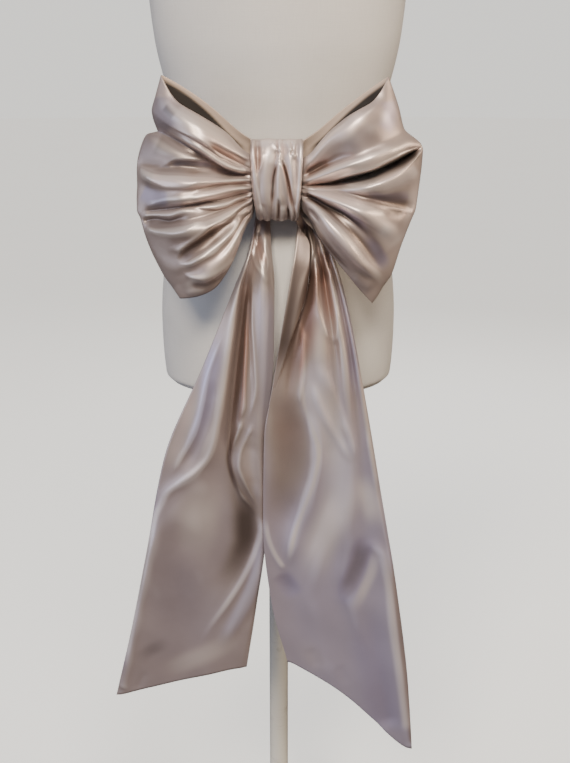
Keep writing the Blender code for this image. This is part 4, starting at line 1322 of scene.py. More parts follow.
@dataclass
class Knot:
    """The band wound round the middle of the bow.

    The table's columns are x across the front at the bottom, the middle and the top, how
    far the fold stands out, all in mm, and how sharp it is.

    Attributes:
        name: the piece's name.
        node: the CAD solid that it stands for.
        half_depth: half its depth in mm.
        half_height: half its height in mm.
        tuck: how far its side edges turn in, in mm.
        tuck_share: share of the rows on each side of the middle that turn in.
        wall: the cloth's wall in metres.
        round_steps: points round the band.
        per_gap: rows between fold lines.
        cut: width and length of the cloth laid flat, in metres; not used.
        table: the fold lines, from left to right.
        creases: what is pressed into the front.
        light_patches: patches of painted reflection, highlight and shade on the front.
        fold_growth: share of the folds' height at the top and bottom, and how fast it
            grows forward.
        fold_lift: share of the folds' height that counts upwards.
        crease_lift: share of the creases' height that counts upwards.
        seen_growth: how fast creases and patches of painted light come in forward.
        relief_reach: reach of the near and the far neighbours, in rows.
        relief_from: how far forward the relief starts, 1 being the front.
    """
    name: str = "satin_knot"
    node: str = "knot"
    half_depth: float = 26.5
    half_height: float = 46.5
    tuck: float = 2.0
    tuck_share: float = 0.14
    wall: float = 0.0020
    round_steps: int = 200
    per_gap: int = 12
    cut: tuple = (0.085, 0.255)
    table: tuple = (
        ("left edge", -23.5, -29.5, -31.0, 0.3, 0.0),
        ("left lip", -20.0, -26.0, -28.5, 2.6, 0.3),
        ("left hollow", -16.5, -21.5, -23.0, 0.6, 0.2),
        ("broad pleat", -12.0, -14.0, -10.5, 4.2, 0.0),
        ("middle crease", -7.0, -5.0, 0.5, -0.6, 0.8),
        ("slim pleat", 1.5, 1.8, 3.5, 3.4, 0.1),
        ("brown crease", 14.0, 11.5, 6.5, 0.0, 0.5),
        ("right pleat", 18.5, 18.0, 14.5, 3.2, 0.1),
        ("right groove", 21.0, 23.0, 22.5, 1.0, 0.6),
        ("right lip", 23.0, 26.2, 28.0, 2.8, 0.2),
        ("right edge", 24.8, 28.5, 30.5, 0.3, 0.0),
    )
    creases: tuple = KNOT_CREASES
    light_patches: tuple = KNOT_LIGHT_PATCHES
    fold_growth: tuple = (0.5, 0.9)
    fold_lift: float = 0.7
    crease_lift: float = 0.5
    seen_growth: float = 2.0
    relief_reach: tuple = (3.0, 8.0)
    relief_from: float = 0.1

    def build(self) -> bpy.types.Object:
        """Builds the knot's mesh."""
        angle = np.arange(self.round_steps) * 2 * math.pi / self.round_steps
        power = 2.0 / KNOT_SQUARE
        out = np.sign(np.cos(angle)) * np.abs(np.cos(angle)) ** power
        up = np.sign(np.sin(angle)) * np.abs(np.sin(angle)) ** power
        folds = len(self.table)
        where = row_places(folds, self.per_gap)
        crisp = [row[5] for row in self.table]
        lines = smooth(np.arange(folds), [row[1:4] for row in self.table], where)
        stand = smooth(np.arange(folds), [row[4] for row in self.table], where, crisp)
        x = smooth((-1.0, 0.0, 1.0), lines.T, up).T
        at_top, growth = self.fold_growth
        front = np.clip(at_top + growth * out, 0.0, 1.0)[None, :]
        edge = np.abs(np.linspace(-1.0, 1.0, len(where)))[:, None]
        curl = np.clip((edge - 1.0 + self.tuck_share) / self.tuck_share, 0.0, 1.0)
        rise = (stand[:, None] - self.tuck * curl ** 2) * front
        depth = self.half_depth * out[None, :] + rise * out[None, :]
        height = self.half_height * up[None, :] + rise * up[None, :] * self.fold_lift
        grid = np.stack([x * MM, KNOT_Y - depth * MM,
                         KNOT_Z - KNOT_DROP + height * MM], axis=2)
        facing = np.stack([0 * x, -out + 0 * x, up * self.crease_lift + 0 * x], axis=2)
        seen = ease(self.seen_growth * out)[None, :] + 0 * x
        grid = press(grid, self.creases, facing, seen)
        paint = painted_light_of(grid, self.light_patches, seen)
        relief = relief_of(np.swapaxes(grid, 0, 1), *self.relief_reach).T
        relief = np.where(out[None, :] > self.relief_from, relief, 0.5)
        return sheet_object(self.name, grid, self.wall, closed=True, relief=relief,
                            paint=paint)


@dataclass
class Tail:
    """A hanging end of the sash.

    The table's columns are the distance across at each share of the length, the height of
    the hem, how far forward the line lies at five places down its length, all in mm, and
    how sharp the fold is.

    Attributes:
        name: the piece's name.
        node: the CAD solid that it stands for.
        table: the fold lines, from one edge to the other.
        creases: what is pressed into the front.
        light_patches: patches of painted reflection, highlight and shade on the front.
        forward: how far forward of the hang the tail settles, in mm.
        cut: width and length of the cloth laid flat, in metres; not used.
        cut_area: area of the cloth laid flat, in square metres; not used.
        seed: shifts the slow unevenness.
        turned: number of the fold line up to which the back is turned forward, -1 for none.
        top: height of the top edge, in mm from the knot's middle.
        shares: where down the length the distances across are given.
        depth_shares: the same for how far forward the line lies.
        settle: (share of the length, how much of forward counts there).
        hang: (height, y) of the cloth as it hangs, in mm.
        per_gap: columns between fold lines.
        steps: rows down the tail.
        evening: reach of the evening across the cloth, in grid steps.
        crowding: power that crowds the rows towards the top.
        free: shares of the length at which and over which creases come in.
        loose: the same for the slow unevenness.
        waves: length and height of the slow unevenness, in metres.
        fold_shade: how much of the folds' depth counts towards their painted shade.
        turned_edge: fold lines over which the turned back ends, and the height in mm at
            which and over which it ends below.
    """
    name: str
    node: str
    table: tuple
    creases: tuple
    light_patches: tuple
    forward: float
    cut: tuple
    cut_area: float
    seed: float
    turned: float = -1.0
    top: float = -28.0
    shares: tuple = (0.0, 0.04, 0.09, 0.16, 0.30, 0.48, 0.68, 0.85, 1.0)
    depth_shares: tuple = (0.0, 0.035, 0.12, 0.42, 1.0)
    settle: tuple = ((0.0, 0.0), (0.10, 0.0), (0.30, 1.0), (1.0, 1.0))
    hang: tuple = (
        (-800.0, -142.0), (-300.0, -141.0), (-220.0, -139.0), (-160.0, -133.5),
        (-110.0, -124.0), (-75.0, -110.0), (-50.0, -97.1), (-28.0, -95.1), (0.0, -95.1),
    )
    per_gap: int = 20
    steps: int = 260
    evening: float = 3.0
    crowding: float = 1.25
    free: tuple = (0.03, 0.05)
    loose: tuple = (0.15, 0.3)
    waves: tuple = (0.16, 0.0008)
    fold_shade: float = 0.45
    turned_edge: tuple = (0.3, -420.0, 150.0)

    def build(self) -> bpy.types.Object:
        """Builds the tail's mesh."""
        x = np.array([row[1] for row in self.table], float).T
        hem = np.array([row[2] for row in self.table], float)
        depth = np.array([row[3] for row in self.table], float).T
        crisp = [row[4] for row in self.table]
        places = np.linspace(0.0, 1.0, self.steps) ** self.crowding
        x = smooth(self.shares, x, places)
        ahead = smooth(self.depth_shares, depth, places)
        z = self.top + places[:, None] * (hem[None, :] - self.top)
        hang = smooth(*zip(*self.hang), z.ravel()).reshape(z.shape)
        settle = smooth(*zip(*self.settle), places)[:, None]
        lines = np.stack([x, hang - ahead - self.forward * settle, z], axis=2)
        gaps = np.linalg.norm(np.diff(lines, axis=1), axis=2).mean(axis=0)
        knots = np.concatenate([[0.0], np.cumsum(gaps ** 0.5)])
        columns = row_places(len(self.table), self.per_gap)
        where = np.interp(columns, np.arange(len(self.table)), knots)
        grid = smooth(knots, np.swapaxes(lines, 0, 1), where, crisp)
        grid = soften(np.swapaxes(grid, 0, 1) * MM, self.evening, 1)
        grid[:, :, 2] += KNOT_Z
        start, reach = self.free
        free = ease((places - start) / reach)[:, None] + 0 * grid[:, :, 0]
        grid = press(grid, self.creases, FORWARD, free)
        start, reach = self.loose
        loose = ease((places - start) / reach)[:, None]
        grid += (ripple(grid, *self.waves, self.seed) * loose)[:, :, None] * FORWARD
        relief = relief_of(grid, *RELIEF_REACH, self.fold_shade)
        paint = painted_light_of(grid, self.light_patches, np.ones(free.shape))
        _, height = front_view(grid)
        side, foot, reach = self.turned_edge
        turned = ease((self.turned - columns) / side) * ease((height - foot) / reach)
        return sheet_object(self.name, grid, WALL, relief=relief, inside=turned,
                            paint=paint)


LEFT_TAIL = (
    ("outer edge", (-25, -28, -35, -54, -93, -146, -174, -199, -224), -707,
     (0, 0, -3, -5, -3), 0.0),
    ("long ridge", (-23, -26, -33, -48, -66, -95, -167, -190, -212), -703,
     (0, 0, 6, 4, 1), 0.3),
    ("deep valley", (-21, -24, -31, -43, -54, -66, -75, -112, -152), -687,
     (0, 0, -7, -6, -1), 0.5),
    ("inner ridge", (-18, -20, -26, -36, -44, -55, -43, -76, -98), -673,
     (0, 0, -4, -2, 1), 0.2),
    ("strand side", (-15, -17, -22, -28, -31, -39, -30, -47, -68), -666,
     (0, 0, 3, 0, 0), 0.2),
    ("strand", (-12, -14, -16, -17, -18, -24, -21, -33, -52), -663,
     (0, 0, 10, 5, 0), 0.0),
    ("inner edge", (-9, -9, -8, -4, -5, -14, -16, -29, -43), -661,
     (0, 0, -2, -3, -1), 0.0),
)
RIGHT_TAIL = (
    ("turned edge", (16, 21, 41, 38, 11, -17, -19, -9, 13), -649, (0, 3, 6, 1, 0), 0.0),
    ("turned fold", (19, 25, 22, 14, 0, -14, -15, -5, 17), -650, (0, 1, 7, 2, 0), 0.0),
    ("hidden hollow", (23, 31, 35, 34, 23, 8, 5, 22, 42), -665, (0, -1, -4, -2, 0), 0.3),
    ("first ridge", (26, 35, 44, 50, 54, 48, 32, 50, 74), -686, (0, 0, 6, 3, 1), 0.2),
    ("hollow", (29, 39, 51, 60, 73, 75, 70, 92, 106), -714, (0, 0, -8, -3, -1), 0.5),
    ("second ridge", (32, 43, 57, 70, 85, 94, 92, 121, 140), -749,
     (0, 0, 6, 3, 1), 0.2),
    ("shallow", (35, 46, 62, 77, 96, 110, 119, 144, 159), -770, (0, 0, -5, -2, -1), 0.3),
    ("outer ridge", (37, 48, 66, 82, 103, 124, 146, 165, 175), -782, (0, 0, 4, 2, 1), 0.2),
    ("outer edge", (39, 51, 69, 85, 107, 132, 159, 177, 187), -788,
     (0, 0, -2, -2, -1), 0.0),
)
LEFT_TAIL_CREASES = (
    Crease("strand hollow", Profile.LEAF, 4.0, -1.3, (0.1, 0.3), (
        (-24, -69), (-21, -84), (-16, -102), (-14, -113))),
    Crease("strand, left rim", Profile.CUSP, 2.5, 1.9, (0.1, 0.2), (
        (-29, -74), (-31, -90), (-27, -105), (-19, -115), (-11, -128))),
    Crease("strand, right rim", Profile.CUSP, 2.1, 1.5, (0.1, 0.3), (
        (-18, -67), (-13, -83), (-9, -99), (-7, -123), (-4, -147), (-2, -178))),
    Crease("strand side", Profile.CUSP, 2.7, 2.0, (0.1, 0.2), (
        (-29, -109), (-31, -135), (-31, -172), (-29, -210), (-27, -255), (-32, -288),
        (-39, -308))),
    Crease("deep fold", Profile.ROLL, 6.9, -4.2, (0.1, 0.15), (
        (-37, -102), (-41, -135), (-45, -172), (-50, -210), (-55, -249), (-59, -288),
        (-62, -329), (-61, -363), (-55, -398), (-48, -433))),
    Crease("deep fold, floor", Profile.CUSP, 3.8, -2.5, (0.1, 0.2), (
        (-35, -111), (-39, -147), (-44, -185), (-49, -223), (-53, -262), (-58, -302),
        (-62, -335), (-61, -370))),
    Crease("orange ridge", Profile.CUSP, 2.3, 2.4, (0.15, 0.15), (
        (-36, -135), (-38, -172), (-39, -210), (-41, -249), (-42, -282), (-48, -308))),
    Crease("dark seam", Profile.CUSP, 2.1, -2.2, (0.1, 0.3), (
        (-34, -117), (-34, -147), (-35, -185), (-34, -223), (-35, -262))),
    Crease("long ridge", Profile.CUSP, 4.2, 3.4, (0.05, 0.2), (
        (-30, -82), (-38, -102), (-43, -128), (-47, -151), (-52, -178), (-58, -203),
        (-62, -229), (-66, -255), (-71, -282), (-76, -308), (-81, -331), (-89, -353),
        (-105, -372), (-126, -388), (-142, -402), (-151, -426))),
    Crease("edge band", Profile.ROLL, 8.0, 2.2, (0.15, 0.02), (
        (-89, -353), (-105, -372), (-126, -388), (-144, -403), (-156, -429), (-167, -466),
        (-176, -508), (-187, -557), (-198, -605), (-208, -656), (-217, -698))),
    Crease("outer ridge", Profile.CUSP, 3.4, 2.0, (0.2, 0.2), (
        (-65, -185), (-79, -219), (-88, -246), (-94, -275), (-101, -304), (-113, -334),
        (-128, -361), (-142, -386))),
    Crease("lilac leaf", Profile.ROLL, 6.9, -2.0, (0.2, 0.2), (
        (-80, -246), (-84, -275), (-92, -308), (-106, -342), (-125, -372))),
    Crease("diamond, outer rim", Profile.CUSP, 3.2, 2.7, (0.1, 0.25), (
        (-43, -299), (-50, -320), (-57, -338), (-60, -355), (-56, -381), (-48, -406),
        (-35, -423), (-26, -440))),
    Crease("bright line of the band", Profile.ROLL, 6.9, 2.0, (0.2, 0.4), (
        (-45, -400), (-34, -419), (-25, -437), (-23, -457), (-30, -486), (-45, -522),
        (-67, -560), (-89, -593), (-109, -626))),
    Crease("diamond, inner rim", Profile.CUSP, 2.8, 2.0, (0.1, 0.2), (
        (-30, -307), (-40, -329), (-48, -349), (-50, -367), (-42, -391), (-32, -412),
        (-24, -429))),
    Crease("diamond", Profile.ROLL, 8.0, -1.8, (0.2, 0.3), (
        (-33, -329), (-35, -353), (-31, -381), (-24, -407))),
    Crease("brown field", Profile.ROLL, 18.4, -3.9, (0.3, 0.4), (
        (-59, -370), (-49, -405), (-42, -440), (-42, -469), (-50, -498), (-66, -530),
        (-88, -560))),
    Crease("pale field", Profile.ROLL, 20.7, 1.8, (0.3, 0.4), (
        (-90, -367), (-96, -405), (-106, -447), (-116, -483))),
    Crease("left hollow", Profile.ROLL, 23.0, -2.4, (0.3, 0.4), (
        (-138, -440), (-136, -498), (-133, -557), (-125, -633))),
    Crease("lilac band", Profile.ROLL, 9.2, 2.6, (0.1, 0.2), (
        (-15, -433), (-17, -469), (-25, -505), (-37, -545), (-57, -587), (-82, -633))),
    Crease("inner valley", Profile.ROLL, 6.9, -1.3, (0.2, 0.3), (
        (-16, -519), (-27, -563), (-43, -605))),
    Crease("hem dent", Profile.ROLL, 4.6, -0.7, (0.3, 0.1), (
        (-181, -667), (-188, -681), (-194, -695))),
)
RIGHT_TAIL_CREASES = (
    Crease("turned strip", Profile.CUSP, 2.8, 1.4, (0.02, 0.3), (
        (28, -49), (23, -83), (17, -121), (9, -166), (2, -203), (-4, -238))),
    Crease("free edge", Profile.FLAP, 4.0, -2.4, (0.1, 0.2), (
        (39, -63), (48, -78), (43, -102), (34, -135), (26, -170), (16, -203), (4, -239),
        (-3, -268))),
    Crease("brown fold", Profile.ROLL, 5.8, -3.0, (0.1, 0.2), (
        (52, -90), (44, -117), (37, -147), (28, -180), (21, -212), (14, -249), (11, -282))),
    Crease("first ridge", Profile.CUSP, 2.5, 2.5, (0.1, 0.2), (
        (49, -87), (47, -111), (48, -135), (51, -160), (58, -182), (68, -205))),
    Crease("hollow", Profile.LEAF, 5.0, -2.2, (0.05, 0.4), (
        (61, -82), (60, -99), (60, -117), (61, -135))),
    Crease("second ridge", Profile.CUSP, 2.5, 2.5, (0.1, 0.1), (
        (63, -106), (71, -133), (75, -160), (75, -182), (70, -205))),
    Crease("third ridge", Profile.CUSP, 2.8, 2.5, (0.05, 0.1), (
        (71, -96), (81, -126), (90, -155), (96, -187), (102, -217), (107, -255), (112, -291),
        (118, -329), (124, -363), (131, -405))),
    Crease("side valley", Profile.ROLL, 4.6, -1.8, (0.1, 0.3), (
        (77, -117), (86, -153), (91, -185), (94, -217), (98, -264))),
    Crease("orange ridge", Profile.CUSP, 2.7, 1.9, (0.2, 0.2), (
        (28, -175), (33, -207), (33, -241), (28, -272), (33, -288))),
    Crease("diamond", Profile.ROLL, 23.0, -3.9, (0.25, 0.3), (
        (16, -264), (20, -308), (22, -349), (19, -393), (12, -440), (8, -476))),
    Crease("diamond, right rim", Profile.ROLL, 8.0, 2.3, (0.2, 0.15), (
        (32, -275), (39, -292), (46, -312), (52, -337), (52, -356), (47, -379), (38, -403),
        (29, -429), (21, -456), (16, -483), (12, -508))),
    Crease("V, left line", Profile.ROLL, 5.2, 1.1, (0.3, 0.1), (
        (-17, -429), (-13, -457), (-5, -484), (9, -511))),
    Crease("leaf, left rim", Profile.ROLL, 5.3, 2.2, (0.25, 0.2), (
        (42, -246), (52, -278), (65, -307), (80, -334), (94, -359))),
    Crease("leaf, right rim", Profile.ROLL, 4.8, 1.9, (0.25, 0.2), (
        (59, -233), (72, -268), (84, -302), (95, -334), (102, -359))),
    Crease("lilac leaf", Profile.ROLL, 6.9, 1.4, (0.2, 0.2), (
        (53, -223), (63, -256), (75, -291), (89, -329))),
    Crease("slant valley", Profile.ROLL, 11.5, -2.4, (0.2, 0.3), (
        (56, -302), (63, -349), (63, -398), (50, -447), (37, -490), (29, -527))),
    Crease("middle field", Profile.ROLL, 13.8, 2.0, (0.3, 0.3), (
        (96, -370), (89, -419), (72, -461), (53, -505), (46, -557))),
    Crease("dark oval", Profile.ROLL, 12.6, -3.0, (0.3, 0.3), (
        (113, -463), (105, -498), (93, -533), (83, -560))),
    Crease("right ridge", Profile.ROLL, 8.6, 2.5, (0.25, 0.02), (
        (96, -533), (109, -498), (121, -477), (136, -486), (147, -527), (155, -594),
        (165, -656), (176, -730), (186, -788))),
    Crease("blue field", Profile.ROLL, 19.5, -3.6, (0.3, 0.1), (
        (118, -557), (122, -617), (133, -679), (153, -759))),
    Crease("dent", Profile.ROLL, 8.0, -0.8, (0.3, 0.3), (
        (42, -626), (50, -642), (56, -659))),
    Crease("second dent", Profile.ROLL, 8.0, -0.8, (0.3, 0.3), (
        (82, -653), (88, -667), (95, -685))),
    Crease("joined foot", Profile.ROLL, 9.8, -1.7, (0.3, 0.5), (
        (0, -515), (11, -531), (24, -551))),
    Crease("outer edge", Profile.CUSP, 3.4, 1.7, (0.1, 0.3), (
        (112, -308), (120, -356), (129, -405), (139, -454), (150, -512), (160, -572))),
)
# Patches of painted reflection, highlight and shade on the left tail.
LEFT_TAIL_LIGHT_PATCHES = (
    PaintedLightPatch("cool below", 100.0, -0.25, -0.08, (0.3, 0), (
        (-69, -223), (-93, -342), (-116, -498), (-134, -648), (-147, -909))),
    PaintedLightPatch("outer lilac", 11.0, -0.8, -0.05, (0.3, 0.4), (
        (-73, -178), (-85, -249), (-100, -308), (-124, -367))),
    PaintedLightPatch("outer pink", 9.0, 0.4, 0.3, (0.3, 0.4), (
        (-93, -249), (-111, -295), (-130, -342), (-146, -384))),
    PaintedLightPatch("long ridge", 4.5, 0, 0.4, (0.2, 0.3), (
        (-38, -102), (-46, -135), (-56, -185), (-64, -236), (-73, -288), (-87, -340))),
    PaintedLightPatch("deep fold", 8.0, 0.5, -0.9, (0.15, 0.4), (
        (-35, -109), (-39, -147), (-43, -197), (-48, -249), (-54, -302), (-58, -342),
        (-60, -377))),
    PaintedLightPatch("copper line", 2.2, 0.7, 0.3, (0.3, 0.3), (
        (-37, -153), (-39, -203), (-41, -249), (-44, -282), (-52, -315))),
    PaintedLightPatch("strand", 9.0, -0.7, 0.3, (0.2, 0.3), (
        (-16, -123), (-13, -172), (-12, -223), (-12, -275), (-14, -335))),
    PaintedLightPatch("strand hollow", 5.0, 0.5, -0.1, (0.3, 0.3), (
        (-23, -74), (-20, -91), (-16, -106))),
    PaintedLightPatch("diamond", 9.0, 0.3, 0.3, (0.3, 0.4), (
        (-33, -318), (-37, -359), (-28, -405))),
    PaintedLightPatch("diamond shade", 4.0, 0.5, -0.8, (0.4, 0.4), (
        (-50, -308), (-60, -337), (-63, -359), (-57, -389), (-44, -414))),
    PaintedLightPatch("taupe field", 26.0, 0.2, 0.55, (0.4, 0.6), (
        (-90, -370), (-99, -419), (-110, -476), (-117, -527))),
    PaintedLightPatch("brown field", 17.0, 0.4, -0.95, (0.4, 0.5), (
        (-59, -356), (-49, -398), (-42, -437), (-42, -469), (-50, -498), (-66, -530),
        (-94, -566))),
    PaintedLightPatch("lower shade", 36.0, -0.1, -0.15, (0.5, 0.5), (
        (-147, -419), (-143, -498), (-132, -572), (-118, -679))),
    PaintedLightPatch("lilac band", 8.0, -0.8, 0.4, (0.2, 0.35), (
        (-15, -429), (-17, -469), (-25, -505), (-37, -545), (-57, -587), (-84, -636))),
    PaintedLightPatch("bright line of the band", 3.6, -0.4, 0.9, (0.25, 0.4), (
        (-30, -423), (-23, -454), (-30, -486), (-45, -522), (-67, -560), (-89, -593),
        (-109, -626))),
    PaintedLightPatch("long pale line", 3.8, -0.2, 0.8, (0.1, 0.15), (
        (-145, -406), (-158, -431), (-168, -469), (-178, -512), (-189, -560), (-199, -608),
        (-211, -667))),
    PaintedLightPatch("outer edge", 6.0, -0.9, -0.25, (0.2, 0.1), (
        (-155, -384), (-169, -433), (-184, -498), (-200, -572), (-221, -679))),
    PaintedLightPatch("hem cream", 14.0, 0.15, 0.45, (0.4, 0.4), (
        (-47, -605), (-79, -629), (-120, -651), (-169, -673))),
    PaintedLightPatch("hem smudge", 9.0, 0, -0.35, (0.5, 0.5), (
        (-196, -654), (-171, -633), (-144, -620))),
)
# Patches of painted reflection, highlight and shade on the right tail.
RIGHT_TAIL_LIGHT_PATCHES = (
    PaintedLightPatch("cool below", 115.0, -1.0, 0.16, (0.4, 0), (
        (59, -197), (71, -384), (86, -557), (106, -711), (129, -927))),
    PaintedLightPatch("turned strip", 13.0, 0.2, -1.0, (0.05, 0.3), (
        (40, -56), (33, -90), (23, -135), (13, -178), (4, -220), (-3, -255))),
    PaintedLightPatch("fold behind the strip", 11.0, 0.55, -0.5, (0.1, 0.4), (
        (48, -102), (39, -147), (31, -197), (22, -249), (13, -302))),
    PaintedLightPatch("copper line", 2.4, 0.7, 0.35, (0.3, 0.3), (
        (30, -166), (32, -210), (30, -246), (33, -275), (43, -312))),
    PaintedLightPatch("hollow", 7.0, 0.65, -0.35, (0.1, 0.4), (
        (57, -88), (60, -117), (64, -153), (68, -190))),
    PaintedLightPatch("copper between", 10.0, 0.45, -0.35, (0.2, 0.4), (
        (51, -94), (48, -135), (43, -185), (36, -236))),
    PaintedLightPatch("side valley", 8.0, -0.6, -0.25, (0.2, 0.4), (
        (78, -117), (86, -153), (93, -191), (96, -236), (102, -288))),
    PaintedLightPatch("outer pink", 3.5, 0.4, 0.45, (0.2, 0.3), (
        (81, -121), (92, -162), (103, -217), (112, -291), (124, -363), (135, -426))),
    PaintedLightPatch("lilac field", 24.0, -0.7, 0.65, (0.3, 0.4), (
        (53, -203), (48, -259), (63, -308), (77, -356), (75, -426))),
    PaintedLightPatch("pink leaf", 7.0, 0.8, 0, (0.4, 0.4), (
        (62, -246), (70, -282), (82, -318), (93, -345))),
    PaintedLightPatch("diamond", 27.0, 0.6, -0.5, (0.35, 0.45), (
        (9, -242), (17, -308), (18, -356), (13, -412), (5, -480))),
    PaintedLightPatch("diamond, right rim", 3.4, -0.5, 0.85, (0.2, 0.15), (
        (35, -278), (44, -312), (52, -345), (46, -384), (33, -423), (21, -461), (13, -502))),
    PaintedLightPatch("V, left line", 3.2, -0.5, 0.7, (0.3, 0.1), (
        (-17, -433), (-13, -461), (-4, -487), (9, -509))),
    PaintedLightPatch("below the joint", 11.0, -0.1, -0.36, (0.4, 0.4), (
        (0, -512), (11, -528), (27, -552))),
    PaintedLightPatch("middle pale", 22.0, 0, 0.65, (0.4, 0.5), (
        (95, -356), (81, -412), (58, -469), (40, -542))),
    PaintedLightPatch("right pale", 12.0, 0, 0.6, (0.4, 0.4), (
        (109, -370), (121, -419), (129, -454))),
    PaintedLightPatch("dark oval", 12.0, 0.3, -0.65, (0.4, 0.4), (
        (116, -451), (109, -492), (96, -530), (83, -569))),
    PaintedLightPatch("pale beside the oval", 7.0, 0, 0.5, (0.4, 0.4), (
        (129, -471), (125, -509), (112, -545), (97, -578))),
    PaintedLightPatch("low blue field", 24.0, -0.3, -0.15, (0.4, 0.1), (
        (118, -557), (122, -617), (133, -679), (153, -767))),
    PaintedLightPatch("right crest", 6.0, 0, 0.6, (0.25, 0.05), (
        (116, -480), (135, -486), (147, -527), (155, -594), (165, -656), (180, -759))),
    PaintedLightPatch("pink dents", 14.0, 0.15, 0.1, (0.5, 0.5), (
        (27, -608), (46, -640), (68, -676))),
    PaintedLightPatch("outer strip", 4.5, 0.6, -0.5, (0.2, 0.05), (
        (145, -476), (156, -542), (169, -633), (188, -783))),
)


# ---- dress form, band and stand -----------------------------------------------------------
@dataclass
class DressForm:
    """Limbless torso.

    The table's columns are the height from the waist, the half width, and the half depth
    on the bow's side and on the other side, in mm.

    Attributes:
        name: the piece's name.
        node: the CAD solid that it stands for.
        steps: points round the form.
        rows: rings from the bottom to the neck.
        table: the form's sections, from the bottom up.
        edge_rings: heights of further rings, which keep the lower and upper edges crisp.
        cap_inset: width of the rim round the closed ends, in metres.
    """
    name: str = "linen_torso"
    node: str = "form_torso"
    steps: int = 128
    rows: int = 220
    edge_rings: tuple = (-284.0, -281.0, -279.0, 472.0)
    cap_inset: float = 0.002
    table: tuple = (
        (-286.0, 147.0, 104.0, 104.0), (-277.0, 155.0, 110.0, 109.0),
        (-200.0, 158.5, 113.0, 112.0), (-120.0, 152.0, 107.0, 106.0),
        (-60.0, 137.0, 96.0, 96.0), (-28.0, 127.0, 91.3, 91.0),
        (0.0, 124.0, 90.0, 89.0), (50.0, 129.0, 93.0, 96.0),
        (105.0, 144.0, 102.0, 112.0), (160.0, 156.0, 110.0, 130.0),
        (215.0, 162.0, 112.0, 128.0), (275.0, 167.0, 108.0, 108.0),
        (330.0, 168.0, 98.0, 92.0), (362.0, 152.0, 86.0, 80.0),
        (385.0, 112.0, 71.0, 68.0), (402.0, 72.0, 60.0, 58.0),
        (425.0, 55.0, 55.0, 54.0), (470.0, 52.0, 52.0, 52.0),
        (474.0, 49.0, 49.0, 49.0),
    )

    def ring(self, heights: np.ndarray, extra: np.ndarray) -> np.ndarray:
        """Rings round the form.

        Args:
            heights: heights from the waist in mm.
            extra: how far each ring stands off the form in mm.

        Returns:
            Points in metres, (rings, steps, 3).
        """
        table = np.array(self.table)
        half = smooth(table[:, 0], table[:, 1:], heights) + np.asarray(extra)[:, None]
        angle = np.arange(self.steps) * 2 * math.pi / self.steps
        depth = np.where(np.sin(angle)[None, :] < 0, half[:, 1:2], half[:, 2:3])
        rise = np.asarray(heights)[:, None] + 0 * depth
        return np.stack([half[:, :1] * np.cos(angle), depth * np.sin(angle),
                         rise + KNOT_Z / MM], axis=2) * MM

    def build(self) -> bpy.types.Object:
        """Builds the torso, closed at the neck and underneath."""
        heights = np.linspace(self.table[0][0], self.table[-1][0], self.rows)
        heights = np.sort(np.concatenate([heights, self.edge_rings]))
        grid = self.ring(heights, np.zeros(len(heights)))
        piece = sheet_object(self.name, grid, WALL, closed=True)
        piece.modifiers.clear()
        work = bmesh.new()
        work.from_mesh(piece.data)
        bmesh.ops.holes_fill(work, edges=work.edges[:], sides=0)
        caps = [face for face in work.faces if len(face.verts) > 4]
        for face in caps:
            face.smooth = False
        bmesh.ops.inset_region(work, faces=caps, thickness=self.cap_inset,
                               use_even_offset=True)
        bmesh.ops.recalc_face_normals(work, faces=work.faces[:])
        work.to_mesh(piece.data)
        work.free()
        return piece


@dataclass
class WaistBand:
    """Softly pleated band round the waist.

    The table's columns are the height and how far the band stands off the form there, in
    mm, and how sharp the fold is.

    Attributes:
        name: the piece's name.
        node: the CAD solid that it stands for.
        clearance: gap between the form and the band, in mm.
        wall: the cloth's wall in metres.
        rows: rows of points up the band.
        cut: width and length of the cloth laid flat, in metres; not used.
        table: the fold lines, from the bottom up.
        half_height: half the band's height in mm.
        edge_reach: distance from its edges over which the pleats start to drift, in mm.
        drifts: (height in mm, waves round the waist, shift) of the pleats' drift.
    """
    name: str = "satin_waist_band"
    node: str = "waist_band"
    clearance: float = 0.5
    wall: float = 0.0020
    rows: int = 60
    cut: tuple = (0.075, 0.700)
    half_height: float = 36.0
    edge_reach: float = 10.0
    drifts: tuple = ((1.3, 2, 0.7), (0.8, 5, 0.0))
    table: tuple = ((-36.0, 0.0, 0.0), (-28.0, 0.4, 0.6), (-19.0, 1.8, 0.1),
                    (-10.0, 0.3, 0.8), (0.0, 1.8, 0.1), (10.0, 0.3, 0.8),
                    (19.0, 1.8, 0.1), (28.0, 0.4, 0.6), (36.0, 0.0, 0.0))

    def build(self, form: DressForm) -> bpy.types.Object:
        """Builds the band round the form."""
        heights = np.linspace(-self.half_height, self.half_height, self.rows)
        levels, stands, crisp = zip(*self.table)
        extra = smooth(levels, stands, heights, crisp)
        grid = form.ring(heights, self.clearance + self.wall / MM / 2 + extra)
        around = np.arange(form.steps) * 2 * math.pi / form.steps
        drift = sum(height * np.sin(waves * around + shift)
                    for height, waves, shift in self.drifts)
        edge = ease((self.half_height - np.abs(heights)) / self.edge_reach)
        grid[:, :, 2] += edge[:, None] * drift[None, :] * MM
        return sheet_object(self.name, grid, self.wall, closed=True)


